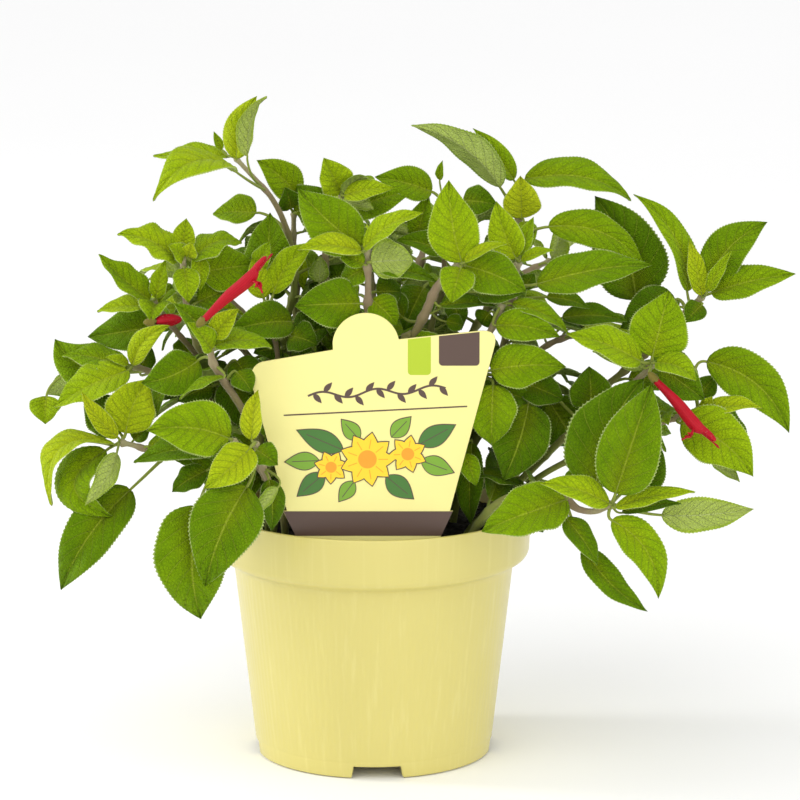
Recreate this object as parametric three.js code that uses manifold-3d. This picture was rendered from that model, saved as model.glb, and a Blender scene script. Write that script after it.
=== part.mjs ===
// Potted pineapple sage: a round plastic pot with a raised rim, the soil in it, a plant label on a stake,
// leafy stems that stand in the soil, and red tubular flowers.
// Millimetres, +Z up, the label towards -Y. The numbers below are measured from the middle of the pot's base.
// The finished group is moved sideways, so that its origin is under the middle of its box.
import * as THREE from "three";
import { mergeVertices } from "three/addons/utils/BufferGeometryUtils.js";
import Module from "manifold-3d";

const wasm = await Module();
wasm.setup();

// Driving dimensions
const GAP = 0.3;
const POT_SIDES = 30;
const POT = {
  height: 96.2,
  rimRadius: 60.2,
  skirtRadius: 59.6,
  skirtBottom: 77.8,
  bevelWidth: 1,
  bevelHeight: 1.2,
  neckRadius: 53.6,
  neckDrop: 3,
  ledgeRise: 2,
  baseRadius: 45,
  wall: 1.4,
  wallDraft: 0.4,
  floorHeight: 4.2,
  floorThickness: 1.5,
};
const NECK_TOP = POT.skirtBottom - POT.neckDrop;
const LEDGE = POT.skirtBottom + POT.ledgeRise;
const FLOOR_TOP = POT.floorHeight + POT.floorThickness;
const FOOT_NOTCH = { width: 19, height: 4.5, count: 4, turn: 0.034 };
const DRAIN_HOLE = { radius: 3.2, ringRadius: 27, count: 6, sides: 6 };
// How long the cutters for the notches and the holes are, more than any wall that they go through
const CUTTER_LENGTH = 12;
const SOIL_TOP = 87;
const STEM_HOLE = { depth: 14, clearance: 1.2, sides: 4 };

// The label's front face and thickness, and its outline as [across, up] from its neck round to its neck again
const LABEL = { front: -48, thickness: 1, curveSteps: 6 };
const LABEL_OUTLINE = {
  neckLeft: [-28.7, 95],
  bandLeft: [-33.5, 104.7],
  plateLeft: [-32, 104.7],
  sideLeft: [-44.7, 152.7],
  cornerLeft: [-46.2, 159.6],
  topLeft: [-40.9, 161.4],
  bumpLeft: [-14.7, 165.9],
  topRight: [39.6, 173.1],
  cornerRight: [46.4, 173.6],
  sideRight: [45.2, 167.8],
  plateRight: [28.7, 104.7],
  bandRight: [29.8, 104.7],
  neckRight: [25.4, 95],
};
const BUMP = { centre: [-2.5, 167.4], radius: 12.4, from: 3.02, to: 0.2 };
const STAKE = { shoulders: [-12, 9], shoulderHeight: 82, point: [-3, 1], foot: 74 };

// A blade's midrib stands this far above and below its middle surface, its halves fold up by this share of
// their width, and the notches between its teeth reach this share of the way out. Its widest place is wider
// by this factor than the table's measure, taken between the teeth. Narrower leaves than the least width are
// left out.
const BLADE = { rise: 0.45, depth: 0.75, fold: 0.22, notch: 0.84, widen: 1.16, least: 6.6 };
const PETIOLE = { halfWidth: 0.6, rise: 0.5 };

// The eye that the plant table's points are seen from. Each point is [across, up, back]: across and up are
// measured where the line of sight meets the upright plane through the pot's axis, and back is the real
// distance behind that plane.
const EYE = new THREE.Vector3(10.1, -1800, 529);
const UP = new THREE.Vector3(0, 0, 1);

// What marks a leaf that grows at its stem's tip
const TIP = 99;

// Each stem: its root on the soil [x, y], its radius at the foot and at the tip, and the points on its way.
// Each leaf: where it leaves the stem, counted in points of the way, its blade's foot and tip, its width, how
// far its upper face rolls up from facing the eye, in degrees, and how far it bows outwards and sideways, as
// shares of its length.
const STEMS = [
  {
    name: "stem_top_left",
    root: [-14, 14],
    radius: [1.5, 0.8],
    way: [[-33, 154, 10], [-30, 179, 8], [-31, 195, 6], [-34, 206, 4], [-38, 214, 2],
      [-42, 219, 0], [-52, 230, -4]],
    leaves: [
      [TIP, [-51.5, 229.5, -5], [-44, 253.5, -8], 11.5, 25, 0.05, 0.07],
      [5.0, [-47.5, 230.5, 2], [-40, 253.5, 0], 8, 130, 0.14, 0],
      [4.8, [-52.5, 225, -4], [-84, 214, -14], 18, 55, 0.26, 0],
      [TIP, [-54.5, 230.5, 2], [-83, 230.5, 8], 11.5, 60, 0.02, 0.05],
      [TIP, [-57, 233, 0], [-60, 240, -2], 3, 0, 0, 0],
      [2.5, [-44, 209, 14], [-61, 209, 18], 14, 45, 0.03, 0],
      [0.1, [-29.5, 160, 6], [-15.5, 165.5, 0], 15, 20, 0.1, 0],
      [0.1, [-35.5, 156, 2], [-45.5, 155, -6], 12, 30, 0.1, 0],
    ],
  },
  {
    name: "stem_left_high",
    root: [-26, -2],
    radius: [1.5, 0.8],
    way: [[-40, 121, -2], [-51, 137, -6], [-61, 150, -12], [-66, 156, -15], [-70, 168, -20],
      [-71, 175, -23], [-72, 190, -28], [-72, 194, -29]],
    leaves: [
      [TIP, [-74, 190.5, -29], [-97, 201.5, -32], 14, 45, 0.14, 0],
      [TIP, [-68.5, 191, -28], [-49, 198.5, -24], 14, 55, 0.18, 0],
      [TIP, [-72.5, 194, -27], [-70.5, 207, -24], 8, 0, 0.05, 0],
      [TIP, [-72, 191.5, -31], [-77.5, 196.5, -36], 7, 30, 0.1, 0],
      [TIP, [-70, 192, -31], [-68.5, 197.5, -34], 6, 10, 0.1, 0],
      [5.8, [-71.5, 187.5, -31], [-70, 174, -38], 9, 5, 0.1, 0],
      [6.0, [-66.5, 192.5, -26], [-65.5, 178.5, -30], 6.5, 20, 0.1, 0],
      [5.2, [-65.5, 186, -15], [-44, 189, -8], 16, 10, 0.08, 0],
      [4.4, [-66.5, 174.5, -16], [-49.5, 180.5, -12], 12, 25, 0.1, 0],
      [1.4, [-54, 145, -16], [-46.5, 124, -22], 17, 5, 0.1, 0],
      [1.6, [-61.5, 142, -18], [-75, 136, -20], 10, 20, 0.1, 0],
      [1.6, [-52, 151.5, -14], [-42.5, 137.5, -18], 12, 10, 0.1, 0],
    ],
  },
  {
    name: "stem_left_mid",
    root: [-34, 8],
    radius: [1.3, 0.8],
    way: [[-42, 125, 4], [-55, 142, -2], [-66, 153, -6], [-73, 161, -10], [-77, 166, -12],
      [-82, 173, -16], [-84, 175, -17]],
    leaves: [
      [TIP, [-84.5, 175.5, -17], [-104, 193, -15], 10.5, 35, 0.05, 0.07],
      [TIP, [-82.5, 176, -19], [-78.5, 191, -21], 6.5, 20, 0.05, 0],
      [TIP, [-86, 173, -19], [-105, 171, -16], 10, 55, 0.06, 0],
      [TIP, [-81, 174, -13], [-73, 176.5, -6], 9, 60, 0.4, 0],
      [TIP, [-82, 173, -19], [-84.5, 167, -30], 11, 20, 0.2, 0],
      [3.8, [-80.5, 165.5, -8], [-108.5, 161, -3], 15, 15, 0.06, 0.02],
      [2.0, [-71, 155, -4], [-73.5, 160.5, 0], 8, 10, 0.1, 0],
    ],
  },
  {
    name: "stem_left_far",
    root: [-42, -6],
    radius: [1.4, 0.8],
    way: [[-43, 119, -8], [-58, 133, -14], [-70, 141, -16], [-79, 145, -16], [-86, 148, -16],
      [-92, 150, -18]],
    leaves: [
      [TIP, [-91.5, 150, -22], [-77, 165.5, -27], 8, 15, 0.05, 0.12],
      [TIP, [-93.5, 149, -18], [-118.5, 155, -17], 14, 50, 0.06, 0],
      [TIP, [-93.5, 148, -24], [-122, 134, -32], 17.5, 45, 0.1, 0.05],
      [4.0, [-98, 147, -8], [-121, 160.5, -4], 17, 5, 0.05, 0.16],
      [TIP, [-93, 150.5, -21], [-102, 153.5, -23], 4, 30, 0.1, 0],
      [3.8, [-88.5, 148, -8], [-84.5, 158, -4], 8, 10, 0.1, 0],
      [4.4, [-112.5, 143, -6], [-124.5, 138.5, -2], 9, 155, 0.1, 0],
      [4.6, [-124.5, 138, -14], [-125.5, 127, -18], 11, 15, 0.1, 0],
    ],
  },
  {
    name: "stem_left_front",
    root: [-27, -22],
    radius: [1.5, 0.9],
    way: [[-41, 115, -34], [-50, 133, -44], [-57, 144, -50], [-61, 151, -54], [-62, 158, -56],
      [-62, 161, -57]],
    leaves: [
      [TIP, [-60.5, 160.5, -59], [-51, 172, -61], 8, 10, 0.05, 0.05],
      [TIP, [-60, 157.5, -59], [-38, 157, -57], 12, 55, 0.16, 0],
      [TIP, [-62, 160.5, -58], [-75.5, 174, -60], 10, 25, 0.1, 0],
      [3.8, [-61.5, 156, -59], [-70.5, 167, -66], 8, 30, 0.1, 0],
      [2.9, [-57, 145.5, -52], [-74.5, 137.5, -46], 8, 70, 0.05, 0],
      [3.0, [-66.5, 152, -44], [-88.5, 143.2, -47], 15, 5, 0.06, 0.08],
      [1.9, [-52, 147.5, -48], [-46, 139.5, -46], 9, 20, 0.1, 0],
    ],
  },
  {
    name: "stem_left_low",
    root: [-40, -16],
    radius: [1.3, 0.9],
    way: [[-40, 112, -18], [-53, 116, -24], [-66, 118, -28], [-78, 118, -32], [-85, 117, -36],
      [-92, 119, -38], [-97, 120, -40]],
    leaves: [
      [TIP, [-99, 119, -43], [-124.5, 94.5, -54], 16, 60, 0.43, 0],
      [TIP, [-102, 117, -46], [-99.5, 90.5, -54], 17, -42, 0.5, -0.25],
      [TIP, [-98, 116, -50], [-110.5, 95, -61], 8, 160, -0.15, 0],
      [2.8, [-93, 101.5, -44], [-121.5, 60, -60], 17.5, 10, 0.22, -0.02],
      [TIP, [-94.5, 123.5, -38], [-85.5, 145, -32], 17, 5, 0.08, 0.06],
      [TIP, [-97.5, 122, -42], [-111, 140, -42], 7, 20, 0.05, 0.08],
      [TIP, [-96.5, 123.5, -32], [-110, 139.5, -26], 15, 10, 0.05, 0],
      [4.5, [-91.5, 121, -30], [-85, 126.5, -28], 7, 20, 0.1, 0],
    ],
  },
  {
    name: "stem_label_left",
    root: [-33, -30],
    radius: [1.5, 0.9],
    way: [[-35, 93, -40], [-39, 102, -50], [-43, 112, -58], [-45, 120, -62]],
    leaves: [
      [TIP, [-47, 118, -65], [-65, 102, -73], 13, 10, 0.08, 0.05],
      [TIP, [-46.5, 121, -62], [-44.5, 141, -58], 8, 25, 0.05, 0],
      [TIP, [-44.5, 117, -57], [-36.5, 111, -53], 9, 15, 0.1, 0],
      [2.5, [-48.5, 102.5, -67], [-65, 62.5, -80], 23, 5, 0.12, -0.04],
      [1.8, [-40, 105.5, -59], [-39, 85, -60], 9, 20, 0.12, 0],
      [1.8, [-36.5, 102.5, -63], [-45, 90.5, -70], 5, 150, 0.1, 0],
    ],
  },
  {
    name: "stem_label_low",
    root: [-38, -25],
    radius: [1.4, 0.9],
    way: [[-37, 98, -34], [-43, 109, -44], [-49, 116, -56], [-54, 121, -62]],
    leaves: [
      [TIP, [-55, 121.5, -63], [-86.5, 124.5, -68], 18.5, 5, 0.06, -0.08],
      [TIP, [-56, 118.5, -58], [-92, 112.5, -52], 15, 50, 0.06, 0],
      [2.1, [-64, 109, -53], [-77.5, 100.5, -54], 9, 20, 0.1, 0],
      [2.7, [-67, 95, -72], [-66, 48.5, -86], 25, 0, 0.14, -0.07],
    ],
  },
  {
    name: "stem_upper_left",
    root: [-12, 26],
    radius: [1.2, 0.8],
    way: [[-28, 164, 26], [-29, 179, 24], [-30, 196, 20], [-30, 209, 17]],
    leaves: [
      [TIP, [-28.5, 215, 15], [-44, 229, 12], 12.5, 15, 0.1, -0.04],
      [TIP, [-29, 209, 15], [-16.5, 217.5, 12], 14, 15, 0.1, 0],
      [TIP, [-31, 210.5, 15], [-33, 218.5, 14], 9, 10, 0.1, 0],
      [1.6, [-28, 192.5, 17], [-26.5, 178.5, 14], 4.5, 10, 0.1, 0],
      [0.6, [-33, 179, 20], [-42, 186, 18], 12, 20, 0.1, 0],
      [0.2, [-23, 175.5, 22], [-10.5, 184.5, 20], 13, 20, 0.1, 0],
    ],
  },
  {
    name: "stem_upper_mid",
    root: [-3, 12],
    radius: [1.5, 0.8],
    way: [[-18, 160, 12], [-18, 179, 10], [-18, 195, 8], [-16, 204, 4], [-12, 215, 0],
      [-12, 217, -1]],
    leaves: [
      [TIP, [-12, 216.5, -1], [-18.5, 230, -3], 12, 15, 0.05, 0.02],
      [TIP, [-10.5, 215.5, -3], [2, 219, -9], 10, 100, 0.3, 0],
      [TIP, [-11, 215.5, -5], [8, 218.5, -12], 8, 30, 0.08, 0],
      [3.5, [-10.5, 209, 4], [15, 217.5, 2], 13, 25, 0.08, 0],
      [TIP, [-10.5, 213, -5], [1, 210.5, -11], 6, 150, 0.1, 0],
      [1.1, [-20.5, 182, 6], [-20, 192.5, 5], 7, 165, 0.05, 0],
      [0.7, [-15.5, 179, 14], [-8, 190, 16], 11, 20, 0.1, 0],
    ],
  },
  {
    name: "stem_leaf_fan",
    root: [-12, -8],
    radius: [1.3, 0.8],
    way: [[-33, 121, -8], [-35, 140, -10], [-37, 158, -12], [-40, 172, -14]],
    leaves: [
      [TIP, [-40, 179, -7], [-39, 209.5, -4], 17, 5, 0.06, 0],
      [TIP, [-38, 177.5, -16], [-21.5, 198, -14], 10, 20, 0.05, 0.1],
      [TIP, [-41.5, 176, -17], [-46, 191.5, -14], 9, 15, 0.05, 0],
      [2.9, [-43.5, 187.5, -13], [-39, 198, -17], 7, 20, 0.1, 0],
      [2.4, [-31, 167, -18], [-54.5, 163.5, -27], 14, 20, 0.12, 0],
      [2.1, [-31.5, 161.5, -22], [-21, 158, -28], 12, 20, 0.1, 0],
    ],
  },
  {
    name: "stem_mid",
    root: [2, -14],
    radius: [1.6, 0.9],
    way: [[-2, 152, -31], [-2, 171, -34], [-2, 183, -36], [-2, 192, -38], [-2, 195, -39]],
    leaves: [
      [TIP, [-4.5, 194, -41], [-29, 195.5, -46], 10, 45, 0.1, 0],
      [TIP, [-4.5, 196, -39], [-28.5, 218.5, -43], 18, 5, 0.06, 0.05],
      [TIP, [-3.5, 195, -43], [19, 209.5, -46], 10, 45, 0.14, 0],
      [2.7, [-1, 190, -41], [15, 190.5, -46], 14, 165, 0.1, 0],
      [2.7, [-3.5, 189, -40], [-14, 194, -37], 7, 20, 0.1, 0],
      [2.5, [-3, 187.5, -35], [-13, 181.5, -33], 9, 20, 0.1, 0],
      [2.5, [0.5, 187.5, -39], [25, 182.5, -42], 9, 45, 0.08, 0],
      [1.1, [-5, 174, -36], [-30, 173, -40], 17, 5, 0.08, 0],
      [1.2, [-0.5, 175.5, -34], [9.5, 165.5, -36], 11, 15, 0.1, 0],
      [1.3, [1, 178.5, -26], [11, 178.5, -22], 12, 15, 0.1, 0],
    ],
  },
  {
    name: "stem_mid_back",
    root: [10, 18],
    radius: [1.4, 0.8],
    way: [[21, 160, 20], [26, 179, 19], [27, 196, 16], [27, 212, 13]],
    leaves: [
      [TIP, [22, 217, 10], [0.5, 222.5, 6], 12, 20, 0.1, 0],
      [TIP, [25, 221.5, 12], [26, 229, 10], 3, 20, 0.1, 0],
      [TIP, [34, 213.5, 12], [47, 212, 8], 11, 15, 0.1, 0],
      [2.1, [16.5, 199, 11], [21, 216, 9], 9, 10, 0.1, 0],
      [2.0, [26.5, 194, 8], [8.5, 199, 4], 9, 30, 0.1, 0],
      [1.9, [13, 201, 9], [6.5, 203, 6], 5, 150, 0.1, 0],
      [0.9, [19, 180, 6], [11.5, 163.5, -2], 14, 10, 0.1, 0],
      [1.0, [30, 175.5, 10], [33.5, 163.5, 4], 8, 10, 0.1, 0],
    ],
  },
  {
    name: "stem_mid_right",
    root: [14, -18],
    radius: [1.7, 1],
    way: [[12, 156, -32], [15, 161, -33], [20, 171, -35], [24, 180, -37], [29, 186, -39],
      [33, 190, -41]],
    leaves: [
      [TIP, [33.5, 190, -43], [28.5, 221.5, -40], 17, 0, 0.06, 0.04],
      [TIP, [33, 187.5, -44], [29.5, 174, -52], 12, 5, 0.12, 0],
      [TIP, [35, 188.5, -42], [58, 178.5, -44], 15, 5, 0.08, 0.04],
      [TIP, [34.5, 190, -46], [50.5, 197.5, -49], 6, 50, 0.08, 0],
      [3.0, [39.5, 178.5, -34], [57, 178, -32], 10, 15, 0.1, 0],
      [2.6, [25.5, 173, -36], [47, 174, -34], 7, 45, 0.05, 0],
      [2.2, [27.5, 167, -28], [34.5, 165.5, -24], 6, 10, 0.1, 0],
      [1.7, [11.5, 168.5, -26], [2.5, 175.5, -22], 12, 10, 0.1, 0],
    ],
  },
  {
    name: "stem_label_right",
    root: [24, -22],
    radius: [1.5, 1],
    way: [[30, 109, -28], [36, 129, -32], [40, 144, -34], [42, 158, -35], [47, 168, -36],
      [49, 174, -37]],
    leaves: [
      [TIP, [46.5, 165.5, -40], [71, 161, -45], 11, 10, 0.08, 0.05],
      [TIP, [52.5, 174, -38], [75, 163, -41], 8, 45, 0.1, 0],
      [2.5, [44.5, 148, -43], [73.5, 149.5, -48], 15, 5, 0.06, 0.04],
      [2.2, [56.5, 143.5, -32], [73, 136.5, -34], 12, 10, 0.08, 0],
      [2.0, [45.5, 142.5, -42], [45, 118, -44], 17, 5, 0.08, 0],
      [1.9, [46, 141, -36], [60, 136, -34], 10, 10, 0.08, 0],
      [1.8, [59, 135, -36], [49, 104.5, -42], 20, 5, 0.08, 0.05],
      [0.1, [37.5, 120, -36], [37, 87, -44], 10, 25, 0.1, 0],
      [0.2, [34.5, 115.5, -41], [39.5, 102.5, -43], 7, 10, 0.1, 0],
      [4.0, [44, 170.5, -32], [41, 165.5, -30], 8, 10, 0.1, 0],
    ],
  },
  {
    name: "stem_right_mid",
    root: [21, -3],
    radius: [1.5, 0.9],
    way: [[41, 125, -4], [47, 148, -10], [51, 164, -16], [53, 175, -20], [54, 185, -24],
      [55, 190, -26]],
    leaves: [
      [TIP, [54, 191.5, -28], [46.5, 213.5, -27], 11.5, 0, 0.06, 0.05],
      [TIP, [55.5, 192.5, -27], [60.5, 207.5, -24], 6, 20, 0.05, 0],
      [TIP, [56, 190.5, -29], [68.5, 195, -32], 4.5, 35, 0.1, 0],
      [3.6, [62, 181.5, -32], [106, 190, -38], 14, 20, 0.08, 0],
      [3.3, [57, 180, -16], [61, 185.5, -14], 6, 10, 0.1, 0],
      [3.0, [65.5, 176.5, -20], [82.5, 172, -20], 7, 40, 0.1, 0],
      [2.5, [71.5, 168.5, -16], [96.5, 167, -14], 9, 35, 0.12, 0],
      [1.9, [83, 132.5, -30], [82, 150, -28], 15, 5, 0.08, 0],
      [1.3, [66.5, 136.5, -22], [78, 118, -24], 20, 5, 0.08, 0],
    ],
  },
  {
    name: "stem_top_mid",
    root: [26, 16],
    radius: [1.5, 0.9],
    way: [[44, 137, 16], [50, 160, 14], [53, 179, 12], [55, 195, 10], [55, 205, 8],
      [55, 208, 8]],
    leaves: [
      [TIP, [48, 218.5, 4], [14.5, 243.5, -4], 12, 150, -0.02, 0.12],
      [TIP, [53, 221.5, 11], [38, 241.5, 7], 8, 25, 0.05, 0],
      [TIP, [56, 207, 5], [55.5, 223, 2], 13, 5, 0.05, 0],
      [TIP, [57, 221.5, 11], [99, 214.5, 15], 14, 40, 0.17, 0],
      [TIP, [57, 205.5, 4], [59, 194, -2], 7, 10, 0.1, 0],
      [3.3, [66, 203.5, -4], [103, 188.5, -6], 13, 20, 0.08, 0.12],
    ],
  },
  {
    name: "stem_right_front",
    root: [36, -14],
    radius: [1.5, 1],
    way: [[60, 109, -20], [73, 122, -30], [87, 133, -40], [98, 142, -46], [103, 147, -50],
      [106, 151, -52]],
    leaves: [
      [TIP, [106, 153.5, -54], [112, 179, -51], 20, 0, 0.08, 0],
      [TIP, [101.5, 151.5, -55], [73, 162.5, -60], 13, 30, 0.1, 0],
      [TIP, [103, 149, -56], [83, 156, -62], 9, 140, 0.05, 0],
      [TIP, [107.5, 151, -57], [123.5, 144.5, -64], 11, 40, 0.16, 0],
      [TIP, [109, 149, -48], [126, 136.5, -50], 13, 10, 0.08, 0],
    ],
  },
  {
    name: "stem_right_high",
    root: [42, 2],
    radius: [1.5, 0.9],
    way: [[65, 121, 4], [86, 140, 0], [105, 156, -4], [116, 168, -6], [122, 174, -8],
      [125, 177, -10]],
    leaves: [
      [3.7, [119, 178.5, -9], [98, 216, -8], 10.5, 35, 0.1, -0.1],
      [TIP, [124.5, 177, -13], [119.5, 198.5, -12], 7, 15, 0.05, 0],
      [TIP, [127, 183, -12], [149, 205.5, -15], 15, 10, 0.08, 0.09],
      [TIP, [128, 178, -14], [160, 185.5, -20], 12, 25, 0.08, 0],
      [TIP, [126.5, 178.5, -17], [135.5, 194.5, -21], 5, 25, 0.05, 0],
      [2.3, [99.5, 175.5, 4], [83.5, 215.5, 6], 25, 5, 0.06, -0.07],
      [3.4, [114.5, 175.5, -4], [93.5, 164.5, -8], 16, 10, 0.06, 0],
      [4.1, [124.5, 173.5, -12], [118, 166.5, -16], 8, 10, 0.1, 0],
    ],
  },
  {
    name: "stem_right_low",
    root: [41, -22],
    radius: [1.3, 0.9],
    way: [[60, 104, -26], [83, 117, -30], [102, 125, -36], [117, 130, -40], [124, 132, -43]],
    leaves: [
      [TIP, [126.5, 151.5, -38], [158.5, 123.5, -46], 16.5, 5, 0.04, 0.14],
      [TIP, [124, 138, -36], [130.5, 146.5, -34], 8, 10, 0.1, 0],
      [TIP, [126, 132, -47], [148, 133.5, -52], 8, 45, 0.1, 0],
      [TIP, [126, 132.5, -46], [129, 138, -48], 5, 10, 0.1, 0],
      [3.4, [117, 127.5, -50], [145, 106.5, -58], 19, 5, 0.08, 0.1],
      [3.6, [125.5, 129.5, -40], [143.5, 119.5, -43], 13, 15, 0.1, 0],
      [3.3, [129.5, 112, -45], [140.5, 104.5, -47], 5, 155, 0.1, 0],
    ],
  },
  {
    name: "stem_right_hang",
    root: [36, -30],
    radius: [1.6, 1],
    way: [[45, 94, -42], [56, 100, -50], [67, 101, -58], [72, 99, -62], [78, 94, -66],
      [85, 93, -70], [91, 96, -74]],
    leaves: [
      [TIP, [90, 96, -77], [63.5, 104.5, -82], 11, 35, 0.1, 0],
      [TIP, [92.5, 94.5, -77], [123, 101.5, -82], 9, 50, 0.05, 0],
      [TIP, [95, 92.5, -71], [118, 96, -70], 7, 45, 0.06, 0],
      [TIP, [110, 91.5, -66], [146, 94.5, -68], 12, 170, 0.04, 0.04],
      [TIP, [91, 89.5, -77], [109.5, 57.5, -86], 12.5, 5, 0.1, 0.15],
      [TIP, [92.5, 100, -79], [106, 143, -74], 21, 0, 0.08, 0],
      [TIP, [85, 102.5, -64], [103, 145.5, -60], 26, 5, 0.06, 0.08],
      [TIP, [98, 102.5, -62], [109.5, 118.5, -60], 14, 10, 0.08, -0.1],
      [3.0, [73.5, 97.5, -66], [40, 85.5, -72], 18, 20, 0.14, 0.05],
      [2.8, [60, 92.5, -60], [65, 84.5, -62], 7, 10, 0.1, 0],
      [3.2, [80.5, 79, -64], [106, 53.5, -72], 9.5, 15, 0.06, -0.1],
      [3.3, [73.5, 90.5, -60], [86.5, 72, -62], 9, 10, 0.06, 0],
    ],
  },
];

// Blooms: the stem each grows on, where its stalk leaves the stem, the foot of its tube, the mouth and the
// tips of its upper and its lower lip, as seen points like the plant table's.
const FLOWERS = [
  {
    name: "flower_left",
    stem: "stem_left_front",
    at: 4.7,
    foot: [-64, 168, -66],
    mouth: [-47, 183.5, -70],
    upperLip: [-40.5, 192, -72],
    lowerLip: [-42, 178, -76],
  },
  {
    name: "flower_right",
    stem: "stem_right_front",
    at: TIP,
    foot: [107.5, 144, -62],
    mouth: [122.5, 127, -68],
    upperLip: [130.5, 120.5, -70],
    lowerLip: [117.5, 121, -73],
  },
];
const TUBE = { footRadius: 1.5, mouthRadius: 2.2, lipRadius: 1.2, sides: 6 };
const LOWER_LIP = { start: 1.5, bulge: 1.4, width: 0.7, tip: 0.4 };
const CALYX = { length: 3.5, radius: 1.5, stalk: 0.6, flare: 0.2, sides: 5 };
const BLOOM_SIDE = new THREE.Vector3(0, 1, 0);
const BUD = { stem: "stem_left_mid", at: 4, from: [-83, 167, -28], to: [-72.5, 168, -26], radius: 2.5 };

// Stems behind, placed by rule: the direction that each leans to in degrees from +X, how far out it ends and
// how high.
const BACK_STEMS = [
  [20, 88, 160],
  [48, 104, 176],
  [66, 62, 196],
  [92, 104, 176],
  [116, 64, 194],
  [140, 98, 172],
  [166, 78, 164],
];
const BACK_RULE = {
  seed: 20417,
  rootRadius: [30, 38],
  rootSpace: 6,
  swing: [-8, 8],
  wayParts: [0.25, 0.5, 0.75, 1],
  outPower: 1.35,
  riseStart: 0.12,
  stem: [1.5, 0.9],
  shifts: [0, 4, -4, 8, -8, 12, -12, 16, -16, 20, -20, 24, -24],
  nodes: [0.2, 0.42, 0.62, 0.8],
  pairTurns: [1.35, 0.6],
  heading: [-0.5, 0.5],
  size: [0.7, 1.1],
  width: [0.45, 0.55],
  roll: [-45, 45],
  arch: [0.05, 0.15],
  face: { up: 0.8, out: 0.45 },
  stalkRise: 0.4,
  leaf: { length: 36, first: 1.05, loss: 0.1, stalk: 6.5, rise: [-0.7, 0.35] },
  tuft: { length: 24, count: 3, stalk: 1.4, rise: [-0.2, 0.9] },
  tries: 10,
};

// Where the crown ends as seen from the eye, and the gaps that show light through it: [across, up] points and
// [left, right, low, high] windows. A leaf placed by rule stays inside the crown and clear of the gaps.
const CROWN = [
  [-117, 121], [-107, 158], [-99, 167], [-93, 190], [-72, 199], [-60, 190], [-47, 204], [-33, 212],
  [-19, 218], [-8, 215], [7, 208], [22, 212], [35, 215], [51, 211], [63, 201], [86, 209],
  [104, 198], [110, 179], [119, 166], [121, 129], [111, 109], [88, 106], [73, 119], [63, 105],
  [58, 58], [-53, 58], [-62, 97], [-85, 119], [-100, 121],
];
const CLEARINGS = [
  [-53, -44, 150, 156], [-54, -41, 171, 178], [-38, -29, 172, 181], [-21, -17, 162, 167],
  [62, 73, 108, 118], [47, 71, 156, 161], [65, 98, 149, 160], [73, 87, 152, 162], [77, 99, 147, 149],
  [34, 40, 178, 185], [-74, -66, 137, 143], [-30, -19, 199, 209], [-28, -19, 190, 195],
  [-17, -13, 175, 194], [-6, -4, 175, 185], [-1, 4, 178, 187], [16, 22, 190, 195], [37, 41, 198, 208],
  [77, 99, 167, 179], [28, 42, 162, 172], [-63, -56, 178, 183], [-73, -67, 158, 166],
  [37, 44, 116, 127], [86, 98, 142, 148], [56, 62, 186, 195], [1, 14, 200, 212], [1, 15, 198, 205],
];

// The ways in which a leaf may bend clear of the other stems: how far its foot and its tip move along the
// line of sight, and how much further it rolls. A leaf that is clear in none of them is left out.
const BENDS = [
  [0, 0, 0], [0, -5, 0], [0, 5, 0], [-3, -9, 0], [3, 9, 0], [0, 0, 25], [0, 0, -25], [0, -12, 0],
  [0, 12, 0], [-6, -14, 0], [6, 14, 0], [-4, -6, 30], [4, 6, -30], [-10, -18, 15], [10, 18, -15],
  [-14, -24, 0], [14, 24, 0], [-18, -30, 0], [18, 30, 0], [-20, -20, 0], [20, 20, 0], [-28, -30, 0],
  [28, 30, 0],
];

const STRAIGHT = BENDS[0];

// The volume in cubic mm that a leaf may share with its own stem's pieces, and what a further bend must save
const SHARED = { fine: 1.5, gain: 1 };

// The same random numbers on every run, from 0 to 1
function randomDraws(seed) {
  let state = seed;
  return () => {
    state = (state * 16807) % 2147483647;
    return state / 2147483647;
  };
}

function seenPoint([across, up, back]) {
  const plane = new THREE.Vector3(across, 0, up);
  return plane.sub(EYE).multiplyScalar((back - EYE.y) / -EYE.y).add(EYE);
}

// The main body of a joined piece: hollows that joining has sealed are filled, and loose scraps are dropped
function mainBody(solid) {
  return solid.decompose().reduce((best, body) => (body.volume() > best.volume() ? body : best));
}

// A manifold solid from a closed triangle list
function solidFrom(points, faces) {
  const vertProperties = new Float32Array(points.flatMap((p) => [p.x, p.y, p.z]));
  const mesh = new wasm.Mesh({ numProp: 3, vertProperties, triVerts: new Uint32Array(faces.flat()) });
  return new wasm.Manifold(mesh);
}

function solidFromGeometry(geometry) {
  const bare = geometry.clone();
  bare.deleteAttribute("normal");
  bare.deleteAttribute("uv");
  const merged = mergeVertices(bare, 1e-4);
  const vertProperties = merged.attributes.position.array;
  const mesh = new wasm.Mesh({ numProp: 3, vertProperties, triVerts: new Uint32Array(merged.index.array) });
  return new wasm.Manifold(mesh);
}

function geometryOf(solid) {
  const mesh = solid.getMesh();
  const geometry = new THREE.BufferGeometry();
  geometry.setAttribute("position", new THREE.BufferAttribute(mesh.vertProperties, 3));
  geometry.setIndex(new THREE.BufferAttribute(mesh.triVerts, 1));
  geometry.computeVertexNormals();
  return geometry;
}

// A turned piece about the pot's axis, from a closed profile of [radius, height] points
function turned(profile, sides) {
  const points = [...profile, profile[0]].map(([r, z]) => new THREE.Vector2(r, z));
  return new THREE.LatheGeometry(points, sides).rotateX(Math.PI / 2);
}

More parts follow.
